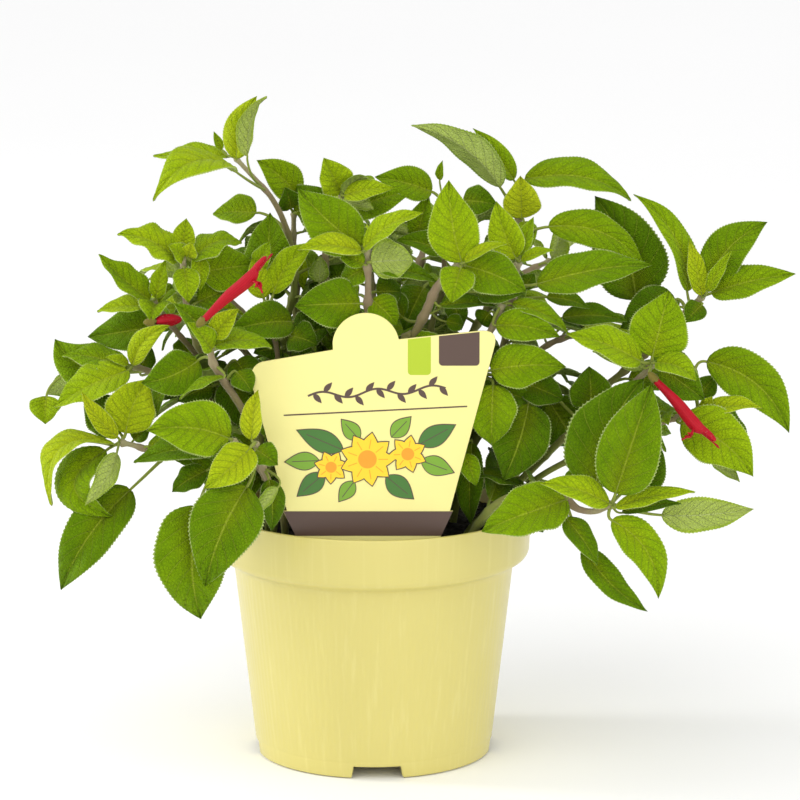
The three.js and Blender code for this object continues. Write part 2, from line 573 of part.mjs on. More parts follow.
function makePot() {
  const { height, rimRadius, skirtRadius, skirtBottom, neckRadius, baseRadius, wall, wallDraft } = POT;
  const outside = [
    [baseRadius, 0],
    [neckRadius, NECK_TOP],
    [skirtRadius - POT.bevelWidth, skirtBottom],
    [skirtRadius, skirtBottom + POT.bevelHeight],
    [rimRadius, height],
  ];
  const inside = [
    [rimRadius - wall, height],
    [skirtRadius - wall, LEDGE],
    [neckRadius - wall, NECK_TOP],
    [baseRadius - wall + wallDraft, FLOOR_TOP],
    [0, FLOOR_TOP],
    [0, POT.floorHeight],
    [baseRadius - wall, POT.floorHeight],
    [baseRadius - wall - wallDraft, 0],
  ];
  let pot = solidFromGeometry(turned([...outside, ...inside], POT_SIDES));
  const notch = new THREE.BoxGeometry(FOOT_NOTCH.width, CUTTER_LENGTH, FOOT_NOTCH.height * 2);
  for (let k = 0; k < FOOT_NOTCH.count; k++) {
    const cut = notch.clone().translate(0, -baseRadius, 0);
    cut.rotateZ(FOOT_NOTCH.turn + (k * 2 * Math.PI) / FOOT_NOTCH.count);
    pot = pot.subtract(solidFromGeometry(cut));
  }
  const { radius, ringRadius, count, sides } = DRAIN_HOLE;
  const drain = new THREE.CylinderGeometry(radius, radius, CUTTER_LENGTH, sides).rotateX(Math.PI / 2);
  for (let k = 0; k < count; k++) {
    const hole = drain.clone().translate(ringRadius, 0, FLOOR_TOP);
    hole.rotateZ(((k + 0.5) * 2 * Math.PI) / count);
    pot = pot.subtract(solidFromGeometry(hole));
  }
  return pot;
}

// The soil fills the pot up into its rim, with a plain hole for each stem and a slot for the label's stake
function makeSoil(roots) {
  const floor = FLOOR_TOP + GAP;
  const top = POT.skirtRadius - POT.wall - GAP;
  const profile = [
    [0, floor],
    [POT.baseRadius - POT.wall, floor],
    [POT.neckRadius - POT.wall - GAP, NECK_TOP],
    [top, LEDGE],
    [top, SOIL_TOP],
    [0, SOIL_TOP],
  ];
  let soil = solidFromGeometry(turned(profile, POT_SIDES));
  for (const { root, radius } of roots) {
    const hole = new THREE.CylinderGeometry(1, 1, STEM_HOLE.depth * 2, STEM_HOLE.sides).rotateX(Math.PI / 2);
    const width = radius * Math.SQRT2 + STEM_HOLE.clearance;
    hole.scale(width, width, 1).translate(root[0], root[1], SOIL_TOP);
    soil = soil.subtract(solidFromGeometry(hole));
  }
  return soil.subtract(solidFromGeometry(stakeGeometry(GAP)));
}

// A flat piece of the label's thickness with this outline, grown by a margin to its front and back
function cardGeometry(shape, margin) {
  const depth = LABEL.thickness + 2 * margin;
  const options = { depth, bevelEnabled: false, curveSegments: LABEL.curveSteps };
  const flat = new THREE.ExtrudeGeometry(shape, options);
  return flat.rotateX(Math.PI / 2).translate(0, LABEL.front + depth - margin, 0);
}

// The label's stake, grown by a margin when it is used to cut its slot
function stakeGeometry(margin) {
  const { neckLeft, neckRight } = LABEL_OUTLINE;
  const [shoulderLeft, shoulderRight] = STAKE.shoulders;
  const [pointLeft, pointRight] = STAKE.point;
  const shape = new THREE.Shape();
  shape.moveTo(neckLeft[0] - margin, neckLeft[1]);
  shape.lineTo(shoulderLeft - margin, STAKE.shoulderHeight);
  shape.lineTo(pointLeft, STAKE.foot - margin);
  shape.lineTo(pointRight, STAKE.foot - margin);
  shape.lineTo(shoulderRight + margin, STAKE.shoulderHeight);
  shape.lineTo(neckRight[0] + margin, neckRight[1]);
  return cardGeometry(shape, margin);
}

// The label: a plate with a slanting top edge and a round bump on it, and the stake below
function makeLabel() {
  const p = LABEL_OUTLINE;
  const shape = new THREE.Shape();
  shape.moveTo(...p.neckLeft);
  shape.lineTo(...p.bandLeft);
  shape.lineTo(...p.plateLeft);
  shape.lineTo(...p.sideLeft);
  shape.quadraticCurveTo(...p.cornerLeft, ...p.topLeft);
  shape.lineTo(...p.bumpLeft);
  shape.absarc(...BUMP.centre, BUMP.radius, BUMP.from, BUMP.to, true);
  shape.lineTo(...p.topRight);
  shape.quadraticCurveTo(...p.cornerRight, ...p.sideRight);
  shape.lineTo(...p.plateRight);
  shape.lineTo(...p.bandRight);
  shape.lineTo(...p.neckRight);
  const plate = cardGeometry(shape, 0);
  return solidFromGeometry(plate).add(solidFromGeometry(stakeGeometry(0)));
}

// A stem's way as a smooth curve, counted in points
function curvePoint(points, u) {
  const last = points.length - 1;
  const i = Math.min(Math.max(Math.floor(u), 0), last - 1);
  const f = Math.min(Math.max(u - i, 0), 1);
  const a = points[Math.max(i - 1, 0)];
  const b = points[i];
  const c = points[i + 1];
  const d = points[Math.min(i + 2, last)];
  const blend = (p, q, r, s) =>
    0.5 * (2 * q + (r - p) * f + (2 * p - 5 * q + 4 * r - s) * f * f + (3 * q - p - 3 * r + s) * f * f * f);
  return new THREE.Vector3(blend(a.x, b.x, c.x, d.x), blend(a.y, b.y, c.y, d.y), blend(a.z, b.z, c.z, d.z));
}

// Two points in the soil's hole come before the way's own
const WAY_START = 2;

function stemPoints(root, way) {
  const foot = new THREE.Vector3(root[0], root[1], SOIL_TOP - STEM_HOLE.depth + GAP);
  const mouth = new THREE.Vector3(root[0], root[1], SOIL_TOP + 1);
  return [foot, mouth, ...way];
}

// Joins rings of points, each going round the same way, into one closed piece with flat ends
function loft(rings) {
  const sides = rings[0].length;
  const faces = [];
  for (let i = 0; i + 1 < rings.length; i++)
    for (let k = 0; k < sides; k++) {
      const a = i * sides + k;
      const b = i * sides + ((k + 1) % sides);
      faces.push([a, b, b + sides], [a, b + sides, a + sides]);
    }
  const end = (rings.length - 1) * sides;
  for (let k = 1; k + 1 < sides; k++) faces.push([0, k + 1, k], [end, end + k, end + k + 1]);
  return solidFrom(rings.flat(), faces);
}

// A ring of points round a centre, square to a direction
function ringAt(centre, along, across, radius, sides, turn) {
  const side = new THREE.Vector3().crossVectors(along, across).normalize();
  const front = new THREE.Vector3().crossVectors(side, along).normalize();
  return Array.from({ length: sides }, (_, k) => {
    const angle = turn + (2 * Math.PI * k) / sides;
    return centre.clone()
      .addScaledVector(front, radius * Math.cos(angle))
      .addScaledVector(side, radius * Math.sin(angle));
  });
}

// Sage stems are square
const STEM_SIDES = 4;
const STEM_STEP = 22;

function makeStem(points, [footRadius, tipRadius]) {
  const last = points.length - 1;
  const lean = points[last].clone().sub(points[0]);
  const across = new THREE.Vector3(-lean.y, lean.x, 0.001).normalize();
  const stations = [0, 1];
  let travelled = 0;
  for (let i = 1; i < last; i++) {
    const reach = points[i].distanceTo(points[i + 1]);
    const steps = Math.max(1, Math.round(reach / STEM_STEP));
    travelled += reach;
    if (steps === 1 && travelled < 0.6 * STEM_STEP && i + 1 < last) continue;
    for (let k = 1; k <= steps; k++) stations.push(i + k / steps);
    travelled = 0;
  }
  const rings = stations.map((u) => {
    const along = curvePoint(points, Math.min(u + 0.02, last)).sub(curvePoint(points, Math.max(u - 0.02, 0)));
    const radius = THREE.MathUtils.lerp(footRadius, tipRadius, u / last) * Math.SQRT2;
    return ringAt(curvePoint(points, u), along.normalize(), across, radius, STEM_SIDES, Math.PI / 4);
  });
  return loft(rings);
}

// A leaf's place: its foot and tip, and the directions that its upper face and its bow point to
function placeLeaf(leaf, [footShift, tipShift, extraRoll]) {
  const sight = leaf.foot.clone().add(leaf.tip).multiplyScalar(0.5).sub(EYE).normalize();
  const foot = leaf.foot.clone().addScaledVector(sight, footShift);
  const tip = leaf.tip.clone().addScaledVector(sight, tipShift);
  const chord = tip.clone().sub(foot);
  const length = chord.length();
  chord.normalize();
  const facing = leaf.face ? leaf.face.clone() : sight.clone().negate();
  facing.addScaledVector(chord, -facing.dot(chord)).normalize();
  const rising = new THREE.Vector3().crossVectors(chord, facing);
  if (rising.z < 0) rising.negate();
  const roll = ((leaf.roll + extraRoll) * Math.PI) / 180;
  const normal = facing.multiplyScalar(Math.cos(roll)).addScaledVector(rising, Math.sin(roll));
  const left = new THREE.Vector3().crossVectors(normal, chord);
  const bow = foot.clone().add(tip).multiplyScalar(0.5)
    .addScaledVector(normal, 2 * leaf.arch * length)
    .addScaledVector(left, 2 * leaf.sweep * length);
  return { foot, tip, bow, normal, length };
}

function quadratic(a, b, c, t) {
  const point = a.clone().multiplyScalar((1 - t) * (1 - t));
  return point.addScaledVector(b, 2 * t * (1 - t)).addScaledVector(c, t * t);
}

// How wide an ovate, pointed blade is along its midrib, 1 at its widest
function bladeWidth(t) {
  return (Math.pow(t, 0.62) * Math.pow(1 - t, 1.1)) / 0.3265;
}

// The midrib's point and the directions of the upper face and of the left side there
function midribFrame(place, t) {
  const point = quadratic(place.foot, place.bow, place.tip, t);
  const along = place.bow.clone().sub(place.foot).multiplyScalar(1 - t)
    .add(place.tip.clone().sub(place.bow).multiplyScalar(t)).normalize();
  const left = new THREE.Vector3().crossVectors(place.normal, along).normalize();
  const normal = new THREE.Vector3().crossVectors(along, left);
  return { point, along, left, normal };
}

// Joins two of a leaf's rails, lists of [place along the leaf, vertex], with a strip of triangles
function strip(first, second, faces) {
  let i = 0;
  let j = 0;
  while (i + 1 < first.length || j + 1 < second.length) {
    const nextFirst = i + 1 < first.length ? first[i + 1][0] : Infinity;
    const nextSecond = j + 1 < second.length ? second[j + 1][0] : Infinity;
    if (nextFirst <= nextSecond) {
      if (first[i + 1][1] !== second[j][1]) faces.push([first[i][1], first[i + 1][1], second[j][1]]);
      i += 1;
    } else {
      if (second[j + 1][1] !== first[i][1]) faces.push([first[i][1], second[j + 1][1], second[j][1]]);
      j += 1;
    }
  }
}

// How finely a blade is cut: the steps of its midrib and of each toothed edge
function bladeSteps(width, length) {
  const size = width * length;
  if (size > 500) return [3, 8];
  if (size > 180) return [2, 6];
  return [2, 4];
}

// One leaf with its stalk, as a closed piece with four rails: its right edge, upper midrib, left edge and
// lower midrib. The teeth are every second point of an edge. A margin makes it thicker all over.
function makeLeaf(start, leaf, place, margin) {
  const points = [];
  const rails = [[], [], [], []];
  const put = (rail, along, point) => rails[rail].push([along, points.push(point) - 1]);
  const footFrame = midribFrame(place, 0);
  const reach = start.distanceTo(place.foot);
  const lead = place.foot.clone().addScaledVector(footFrame.along, -0.4 * reach);
  const stalkRing = (rail, t) => {
    const point = quadratic(start, lead, place.foot, t);
    const along = lead.clone().sub(start).multiplyScalar(1 - t)
      .add(place.foot.clone().sub(lead).multiplyScalar(t)).normalize();
    const turn = new THREE.Quaternion().setFromUnitVectors(footFrame.along, along);
    const left = footFrame.left.clone().applyQuaternion(turn).multiplyScalar(PETIOLE.halfWidth + margin);
    const up = footFrame.normal.clone().applyQuaternion(turn).multiplyScalar(PETIOLE.rise + margin);
    put(0, rail, point.clone().sub(left));
    put(1, rail, point.clone().add(up));
    put(2, rail, point.clone().add(left));
    put(3, rail, point.clone().sub(up));
  };
  stalkRing(-2, 0);
  if (reach > 10) stalkRing(-1, 0.55);
  if (reach > 1.5) stalkRing(0, 1);
  const [ribSteps, edgeSteps] = bladeSteps(leaf.width, place.length);
  for (let i = 1; i < ribSteps; i++) {
    const t = i / ribSteps;
    const { point, normal } = midribFrame(place, t);
    put(1, t, point.clone().addScaledVector(normal, BLADE.rise + margin));
    put(3, t, point.clone().addScaledVector(normal, -BLADE.depth - margin));
  }
  for (let j = 1; j < edgeSteps; j++) {
    const t = j / edgeSteps;
    const { point, left, normal } = midribFrame(place, t);
    const tooth = j % 2 === 1 ? 1 : BLADE.notch;
    const reachOut = 0.5 * leaf.width * bladeWidth(t) * tooth + margin;
    const lift = reachOut * BLADE.fold;
    put(0, t, point.clone().addScaledVector(left, -reachOut).addScaledVector(normal, lift));
    put(2, t, point.clone().addScaledVector(left, reachOut).addScaledVector(normal, lift));
  }
  const end = points.push(place.tip.clone()) - 1;
  for (const rail of rails) rail.push([1, end]);
  const faces = [];
  for (let k = 0; k < 4; k++) strip(rails[k], rails[(k + 1) % 4], faces);
  const [right, top, left, bottom] = rails.map((rail) => rail[0][1]);
  faces.push([right, top, left], [right, left, bottom]);
  return solidFrom(points, faces);
}

// The margin that a leaf keeps from every piece of another node
const CLEARANCE = 0.35;

function boxesMeet(a, b) {
  return [0, 1, 2].every((k) => a.min[k] <= b.max[k] && b.min[k] <= a.max[k]);
}

function isClear(probe, name) {
  const box = probe.boundingBox();
  for (const piece of pieces) {
    if (piece.name === name || !boxesMeet(box, piece.box)) continue;
    const common = probe.intersect(piece.solid);
    const empty = common.isEmpty();
    common.delete();
    if (!empty) return false;
  }
  return true;
}

// How much of a leaf lies inside the other pieces of its own stem
function sharedVolume(solid, name) {
  const box = solid.boundingBox();
  let shared = 0;
  for (const piece of pieces) {
    if (piece.name !== name || !boxesMeet(box, piece.box)) continue;
    const common = solid.intersect(piece.solid);
    shared += common.volume();
    common.delete();
  }
  return shared;
}

function insideCrown(across, up) {
  let inside = false;
  for (let i = 0, j = CROWN.length - 1; i < CROWN.length; j = i, i += 1) {
    const [xi, zi] = CROWN[i];
    const [xj, zj] = CROWN[j];
    if (zi > up !== zj > up && across < ((xj - xi) * (up - zi)) / (zj - zi) + xi) inside = !inside;
  }
  return inside && !CLEARINGS.some(([x0, x1, z0, z1]) => across > x0 && across < x1 && up > z0 && up < z1);
}

// Whether a leaf placed by rule is hidden by the crown as seen from the eye
function isHidden(leaf, place) {
  for (const t of [0, 0.2, 0.4, 0.6, 0.8, 1]) {
    const { point, left } = midribFrame(place, t);
    const half = 0.5 * leaf.width * bladeWidth(t);
    for (const side of [-1, 0, 1]) {
      const p = point.clone().addScaledVector(left, side * half).sub(EYE);
      p.multiplyScalar(-EYE.y / p.y).add(EYE);
      if (!insideCrown(p.x, p.z)) return false;
    }
  }
  return true;
}

// A stem behind, with pairs of leaves that cross one another's direction, and a tuft at its tip. Every leaf
// is drawn several times over: the first that the crown hides and that is clear is the one that grows.
function backStem([degrees, reach, height], index, shift) {
  const rule = BACK_RULE;
  const draw = randomDraws(rule.seed + index);
  const between = ([low, high]) => low + (high - low) * draw();
  const angle = ((degrees + shift) * Math.PI) / 180;
  const out = new THREE.Vector3(Math.cos(angle), Math.sin(angle), 0);
  const side = new THREE.Vector3(-out.y, out.x, 0);
  const rootRadius = between(rule.rootRadius);
  const root = [out.x * rootRadius, out.y * rootRadius];
  const swing = between(rule.swing);
  const way = rule.wayParts.map((f) => {
    const distance = rootRadius + (reach - rootRadius) * Math.pow(f, rule.outPower);
    const quarter = 0.5 * Math.PI * (rule.riseStart + (1 - rule.riseStart) * f);
    const point = out.clone().multiplyScalar(distance).addScaledVector(side, swing * f * (1 - f));
    return point.setZ(SOIL_TOP + (height - SOIL_TOP) * Math.sin(quarter));
  });
  const points = stemPoints(root, way);
  const last = points.length - 1;
  const face = UP.clone().multiplyScalar(rule.face.up).addScaledVector(out, rule.face.out);
  const drawLeaf = (at, turn, length, kind) => {
    const heading = turn + between(rule.heading);
    const direction = out.clone().multiplyScalar(Math.cos(heading));
    direction.addScaledVector(side, Math.sin(heading));
    const rise = between(kind.rise);
    const size = length * between(rule.size);
    const foot = curvePoint(points, at).addScaledVector(direction, kind.stalk);
    foot.addScaledVector(UP, rule.stalkRise * kind.stalk);
    const tip = foot.clone().addScaledVector(direction, size * Math.cos(rise));
    tip.addScaledVector(UP, size * Math.sin(rise));
    const roll = between(rule.roll);
    const arch = between(rule.arch);
    return { at, foot, tip, width: size * between(rule.width), face, roll, arch, sweep: 0 };
  };
  const leaves = [];
  const grow = (...place) => leaves.push(Array.from({ length: rule.tries }, () => drawLeaf(...place)));
  rule.nodes.forEach((f, n) => {
    const length = rule.leaf.length * (rule.leaf.first - rule.leaf.loss * n);
    for (const sign of [-1, 1]) grow(1 + f * (last - 1), sign * rule.pairTurns[n % 2], length, rule.leaf);
  });
  const { count, length } = rule.tuft;
  for (let n = 0; n < count; n++) grow(last, (n * 2 * Math.PI) / count, length, rule.tuft);
  return { name: `stem_back_${index + 1}`, root, radius: rule.stem, points, leaves, byRule: true };
}

// A leaf of the table, in real places
function tableLeaf([at, foot, tip, width, roll, arch, sweep], last) {
  return {
    at: Math.min(at + WAY_START, last),
    foot: seenPoint(foot),
    tip: seenPoint(tip),
    width: width * BLADE.widen,
    roll,
    arch,
    sweep,
  };
}

function frontStems() {
  return STEMS.map(({ name, root, radius, way, leaves }) => {
    const points = stemPoints(root, way.map(seenPoint));
    const grown = leaves.filter(([, , , width]) => width >= BLADE.least);
    return { name, root, radius, points, leaves: grown.map((leaf) => [tableLeaf(leaf, points.length - 1)]) };
  });
}

// A flower's stalk and the green cup that holds its tube
function makeStalk(start, foot, axis) {
  const rim = foot.clone().addScaledVector(axis, -GAP);
  const cup = rim.clone().addScaledVector(axis, -CALYX.length);
  const lead = start.clone().lerp(cup, 0.5);
  const centres = [start, lead, cup, rim];
  const radii = [CALYX.stalk, CALYX.stalk, CALYX.stalk + CALYX.flare, CALYX.radius];
  const rings = centres.map((centre, i) => {
    const along = i < 2 ? cup.clone().sub(start).normalize() : axis;
    return ringAt(centre, along, BLOOM_SIDE, radii[i], CALYX.sides, 0);
  });
  return loft(rings);
}

// A flower's tube, its straight upper lip and its lower lip that curls back
function makeFlower({ foot, mouth, upperLip, lowerLip }) {
  const [a, b, c, d] = [foot, mouth, upperLip, lowerLip].map(seenPoint);
  const axis = b.clone().sub(a).normalize();
  const run = (centre, along, radius) => ringAt(centre, along, BLOOM_SIDE, radius, TUBE.sides, 0);
  const upAxis = c.clone().sub(a).normalize();
  const tube = loft([
    run(a, axis, TUBE.footRadius),
    run(a.clone().lerp(b, 0.3), axis, TUBE.mouthRadius * 0.9),
    run(b, upAxis, TUBE.mouthRadius),
    run(b.clone().lerp(c, 0.5), upAxis, TUBE.lipRadius),
    run(c, upAxis, TUBE.lipRadius * 0.4),
  ]);
  const bend = b.clone().lerp(d, 0.5).addScaledVector(axis, LOWER_LIP.bulge);
  const downAxis = d.clone().sub(bend).normalize();
  const lower = loft([
    run(b.clone().addScaledVector(axis, -LOWER_LIP.start), axis, TUBE.lipRadius * LOWER_LIP.width),
    run(bend, downAxis, TUBE.lipRadius * LOWER_LIP.width),
    run(d, downAxis, TUBE.lipRadius * LOWER_LIP.tip),
  ]);
  return tube.add(lower);
}

function makeBud() {
  const [a, b] = [BUD.from, BUD.to].map(seenPoint);
  const axis = b.clone().sub(a).normalize();
  const rings = [0, 0.2, 0.5, 0.8, 1].map((t) => {
    const radius = BUD.radius * Math.sqrt(Math.max(0.06, 1 - (2 * t - 1) * (2 * t - 1)));
    return ringAt(a.clone().lerp(b, t), axis, BLOOM_SIDE, radius, TUBE.sides, 0);
  });
  return loft(rings);
}

// Every finished piece keeps its box, so that later leaves can be tested against it
const pieces = [];

function keep(name, solid) {
  pieces.push({ name, solid, box: solid.boundingBox() });
}

const group = new THREE.Group();

function addMesh(name, solid, material) {
  const mesh = new THREE.Mesh(geometryOf(solid), material);
  mesh.name = name;
  group.add(mesh);
}

const plastic = () => new THREE.MeshStandardMaterial({ color: 0xe3d982, roughness: 0.45, metalness: 0 });
const earth = () => new THREE.MeshStandardMaterial({ color: 0x1d1814, roughness: 0.95, metalness: 0 });
const card = () => new THREE.MeshStandardMaterial({ color: 0xf4eda6, roughness: 0.4, metalness: 0 });
const foliage = () => new THREE.MeshStandardMaterial({ color: 0x5f8f0a, roughness: 0.6, metalness: 0 });
const petal = () => new THREE.MeshStandardMaterial({ color: 0xcc1c30, roughness: 0.5, metalness: 0 });

const pot = makePot();
const label = makeLabel();
keep("pot", pot);
keep("label", label);

const parts = new Map();

function plant(stem) {
  const tube = makeStem(stem.points, stem.radius);
  parts.set(stem.name, [tube]);
  keep(stem.name, tube);
  return stem;
}

const stems = frontStems().map(plant);

// Whether a stem behind has room for its root and passes clear of the others
function fits(stem) {
  const near = stems.some(({ root: [x, y] }) => {
    return Math.hypot(x - stem.root[0], y - stem.root[1]) < BACK_RULE.rootSpace;
  });
  const probe = makeStem(stem.points, stem.radius.map((radius) => radius + CLEARANCE));
  return !near && isClear(probe, stem.name);
}

BACK_STEMS.forEach((spec, index) => {
  stems.push(plant(BACK_RULE.shifts.map((shift) => backStem(spec, index, shift)).find(fits)));
});

const soil = makeSoil(stems.map(({ root, radius }) => ({ root, radius: radius[0] })));
keep("soil", soil);

const blooms = FLOWERS.map((flower) => ({ name: flower.name, solid: makeFlower(flower), ...flower }));
for (const { name, solid } of blooms) keep(name, solid);
const bud = makeBud();
keep("flower_bud", bud);

const stalks = FLOWERS.map(({ stem, at, foot, mouth }) => ({ stem, at, foot, next: mouth }));
stalks.push({ stem: BUD.stem, at: BUD.at, foot: BUD.from, next: BUD.to });
for (const { stem, at, foot, next } of stalks) {
  const { points } = stems.find(({ name }) => name === stem);
  const start = curvePoint(points, Math.min(at + WAY_START, points.length - 1));
  const axis = seenPoint(next).sub(seenPoint(foot)).normalize();
  const stalk = makeStalk(start, seenPoint(foot), axis);
  parts.get(stem).push(stalk);
  keep(stem, stalk);
}

// The first way to place a leaf that is clear of the other stems and doesn't cross its own stem's leaves, or
// else the clear way that crosses them least
function growLeaf(stem, tries) {
  let grown = null;
  let least = Infinity;
  for (const leaf of tries)
    for (const bend of stem.byRule ? [STRAIGHT] : BENDS) {
      const start = curvePoint(stem.points, leaf.at);
      const place = placeLeaf(leaf, bend);
      if (stem.byRule && !isHidden(leaf, place)) continue;
      const probe = makeLeaf(start, leaf, place, CLEARANCE);
      const clear = isClear(probe, stem.name);
      probe.delete();
      if (!clear) continue;
      const candidate = makeLeaf(start, leaf, place, 0);
      const shared = sharedVolume(candidate, stem.name);
      if (shared > least - SHARED.gain) continue;
      grown = candidate;
      least = shared;
      if (least < SHARED.fine) return grown;
    }
  return grown;
}

for (const stem of stems)
  for (const tries of stem.leaves) {
    const solid = growLeaf(stem, tries);
    if (!solid) continue;
    parts.get(stem.name).push(solid);
    keep(stem.name, solid);
  }

addMesh("pot", pot, plastic());
addMesh("soil", soil, earth());
addMesh("label", label, card());
for (const { name } of stems) {
  const whole = parts.get(name).reduce((joined, solid) => joined.add(solid));
  addMesh(name, mainBody(whole), foliage());
}
for (const { name, solid } of blooms) addMesh(name, solid, petal());
addMesh("flower_bud", bud, petal());

const middle = new THREE.Box3().setFromObject(group).getCenter(new THREE.Vector3());
group.position.set(-middle.x, -middle.y, 0);
export default group;
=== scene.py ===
# Looks of a potted pineapple sage: the pot, its soil, the plant label, leafy stems and red tubular flowers
import math

import bmesh
import bpy
import numpy as np
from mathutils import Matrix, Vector, kdtree, noise


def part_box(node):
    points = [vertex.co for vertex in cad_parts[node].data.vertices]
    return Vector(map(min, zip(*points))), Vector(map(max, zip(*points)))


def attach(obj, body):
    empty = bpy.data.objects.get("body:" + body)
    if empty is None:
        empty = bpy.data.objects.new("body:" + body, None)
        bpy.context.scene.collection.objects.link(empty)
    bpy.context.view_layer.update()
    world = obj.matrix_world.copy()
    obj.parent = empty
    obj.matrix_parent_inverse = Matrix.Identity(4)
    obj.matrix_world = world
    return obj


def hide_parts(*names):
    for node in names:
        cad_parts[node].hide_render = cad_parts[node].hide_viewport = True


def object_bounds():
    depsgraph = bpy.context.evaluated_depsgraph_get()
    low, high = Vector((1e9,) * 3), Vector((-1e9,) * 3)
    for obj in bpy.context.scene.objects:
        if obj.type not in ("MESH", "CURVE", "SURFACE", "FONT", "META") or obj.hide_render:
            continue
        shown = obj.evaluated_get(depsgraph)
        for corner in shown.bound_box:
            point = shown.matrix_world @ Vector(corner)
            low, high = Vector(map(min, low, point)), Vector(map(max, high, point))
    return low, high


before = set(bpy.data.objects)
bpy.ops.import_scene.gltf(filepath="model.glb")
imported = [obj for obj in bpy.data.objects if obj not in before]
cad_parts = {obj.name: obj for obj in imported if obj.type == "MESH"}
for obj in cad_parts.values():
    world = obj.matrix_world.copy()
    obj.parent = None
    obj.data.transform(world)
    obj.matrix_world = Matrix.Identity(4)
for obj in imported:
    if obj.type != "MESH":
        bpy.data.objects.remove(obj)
cad_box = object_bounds()

# Places and sizes are in millimetres from the middle of the pot's base, and go into the frame through these
MM = 0.001
pot_low, pot_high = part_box("pot")
AXIS = np.array([(pot_low.x + pot_high.x) / 2, (pot_low.y + pot_high.y) / 2, 0.0])

# The pot, the soil and the label
POT_HEIGHT = 96.2
RIM_RADIUS = 60.2
SKIRT_RADIUS = 59.6
SKIRT_BOTTOM = 77.8
NECK_RADIUS = 53.6
NECK_TOP = 74.8
LEDGE = 79.8
BASE_RADIUS = 45.0
WALL = 1.4
DRAFT = 0.4
FLOOR = (4.2, 5.7)
POT_SEGMENTS = 600
RIBS = {"count": 120, "depth": 0.08, "bottom": 8.0, "top": 72.0}
# Heights at which the wall has rows of points, and the shallow line round its foot
WALL_ROWS = (5.0, 5.9, 6.1, 7.0, 8.5, 10.0, 20.0, 40.0, 60.0, 70.0, 71.5, 73.0)
FOOT_LINE = {"rows": (5.9, 6.1), "depth": 0.15}
FOOT_NOTCH = {"width": 19.0, "height": 4.5, "count": 4, "turn": 0.034, "slant": 0.8}
DRAIN_HOLE = {"radius": 3.2, "ring": 27.0, "count": 6, "sides": 24, "cutter": 12.0}
GAP = 0.3
SOIL_TOP = 87.0
SOIL_GRAIN = {"rings": 56, "segments": 200, "height": 1.6, "edge": 1.5, "crumbs": 420, "seed": 515,
              "lumps": ((0.22, 0.7), (0.6, 0.5), (1.5, 0.35)), "crumb": (0.45, 1.3)}
STEM_HOLE_DEPTH = 14.0
LABEL_FRONT = -48.0
LABEL_THICKNESS = 1.0
LABEL_OUTLINE = {
    "neck_left": (-28.7, 95), "band_left": (-33.5, 104.7), "plate_left": (-32, 104.7),
    "side_left": (-44.7, 152.7), "corner_left": (-46.2, 159.6), "top_left": (-40.9, 161.4),
    "bump_left": (-14.7, 165.9), "top_right": (39.6, 173.1), "corner_right": (46.4, 173.6),
    "side_right": (45.2, 167.8), "plate_right": (28.7, 104.7), "band_right": (29.8, 104.7),
    "neck_right": (25.4, 95),
}
BUMP = {"centre": (-2.5, 167.4), "radius": 12.4, "from": 3.02, "to": 0.2}
STAKE = {"left": -12, "right": 9, "shoulder": 82, "point_left": -3, "point_right": 1, "foot": 74}

# The eye that the plant's points are seen from, and the camera there. Each point is (across, up, back): across
# and up are measured where the line of sight meets the upright plane through the pot's axis, and back is the
# real distance behind that plane.
EYE = np.array([10.1, -1800.0, 529.0])
CAMERA_PITCH = 77.7
CAMERA_LENS = 217.8
CAMERA_SENSOR = 36.0
UP = np.array([0.0, 0.0, 1.0])

# What marks a leaf that grows at its stem's tip, and the tone of the oldest leaves
TIP = 99
OLDEST = 9

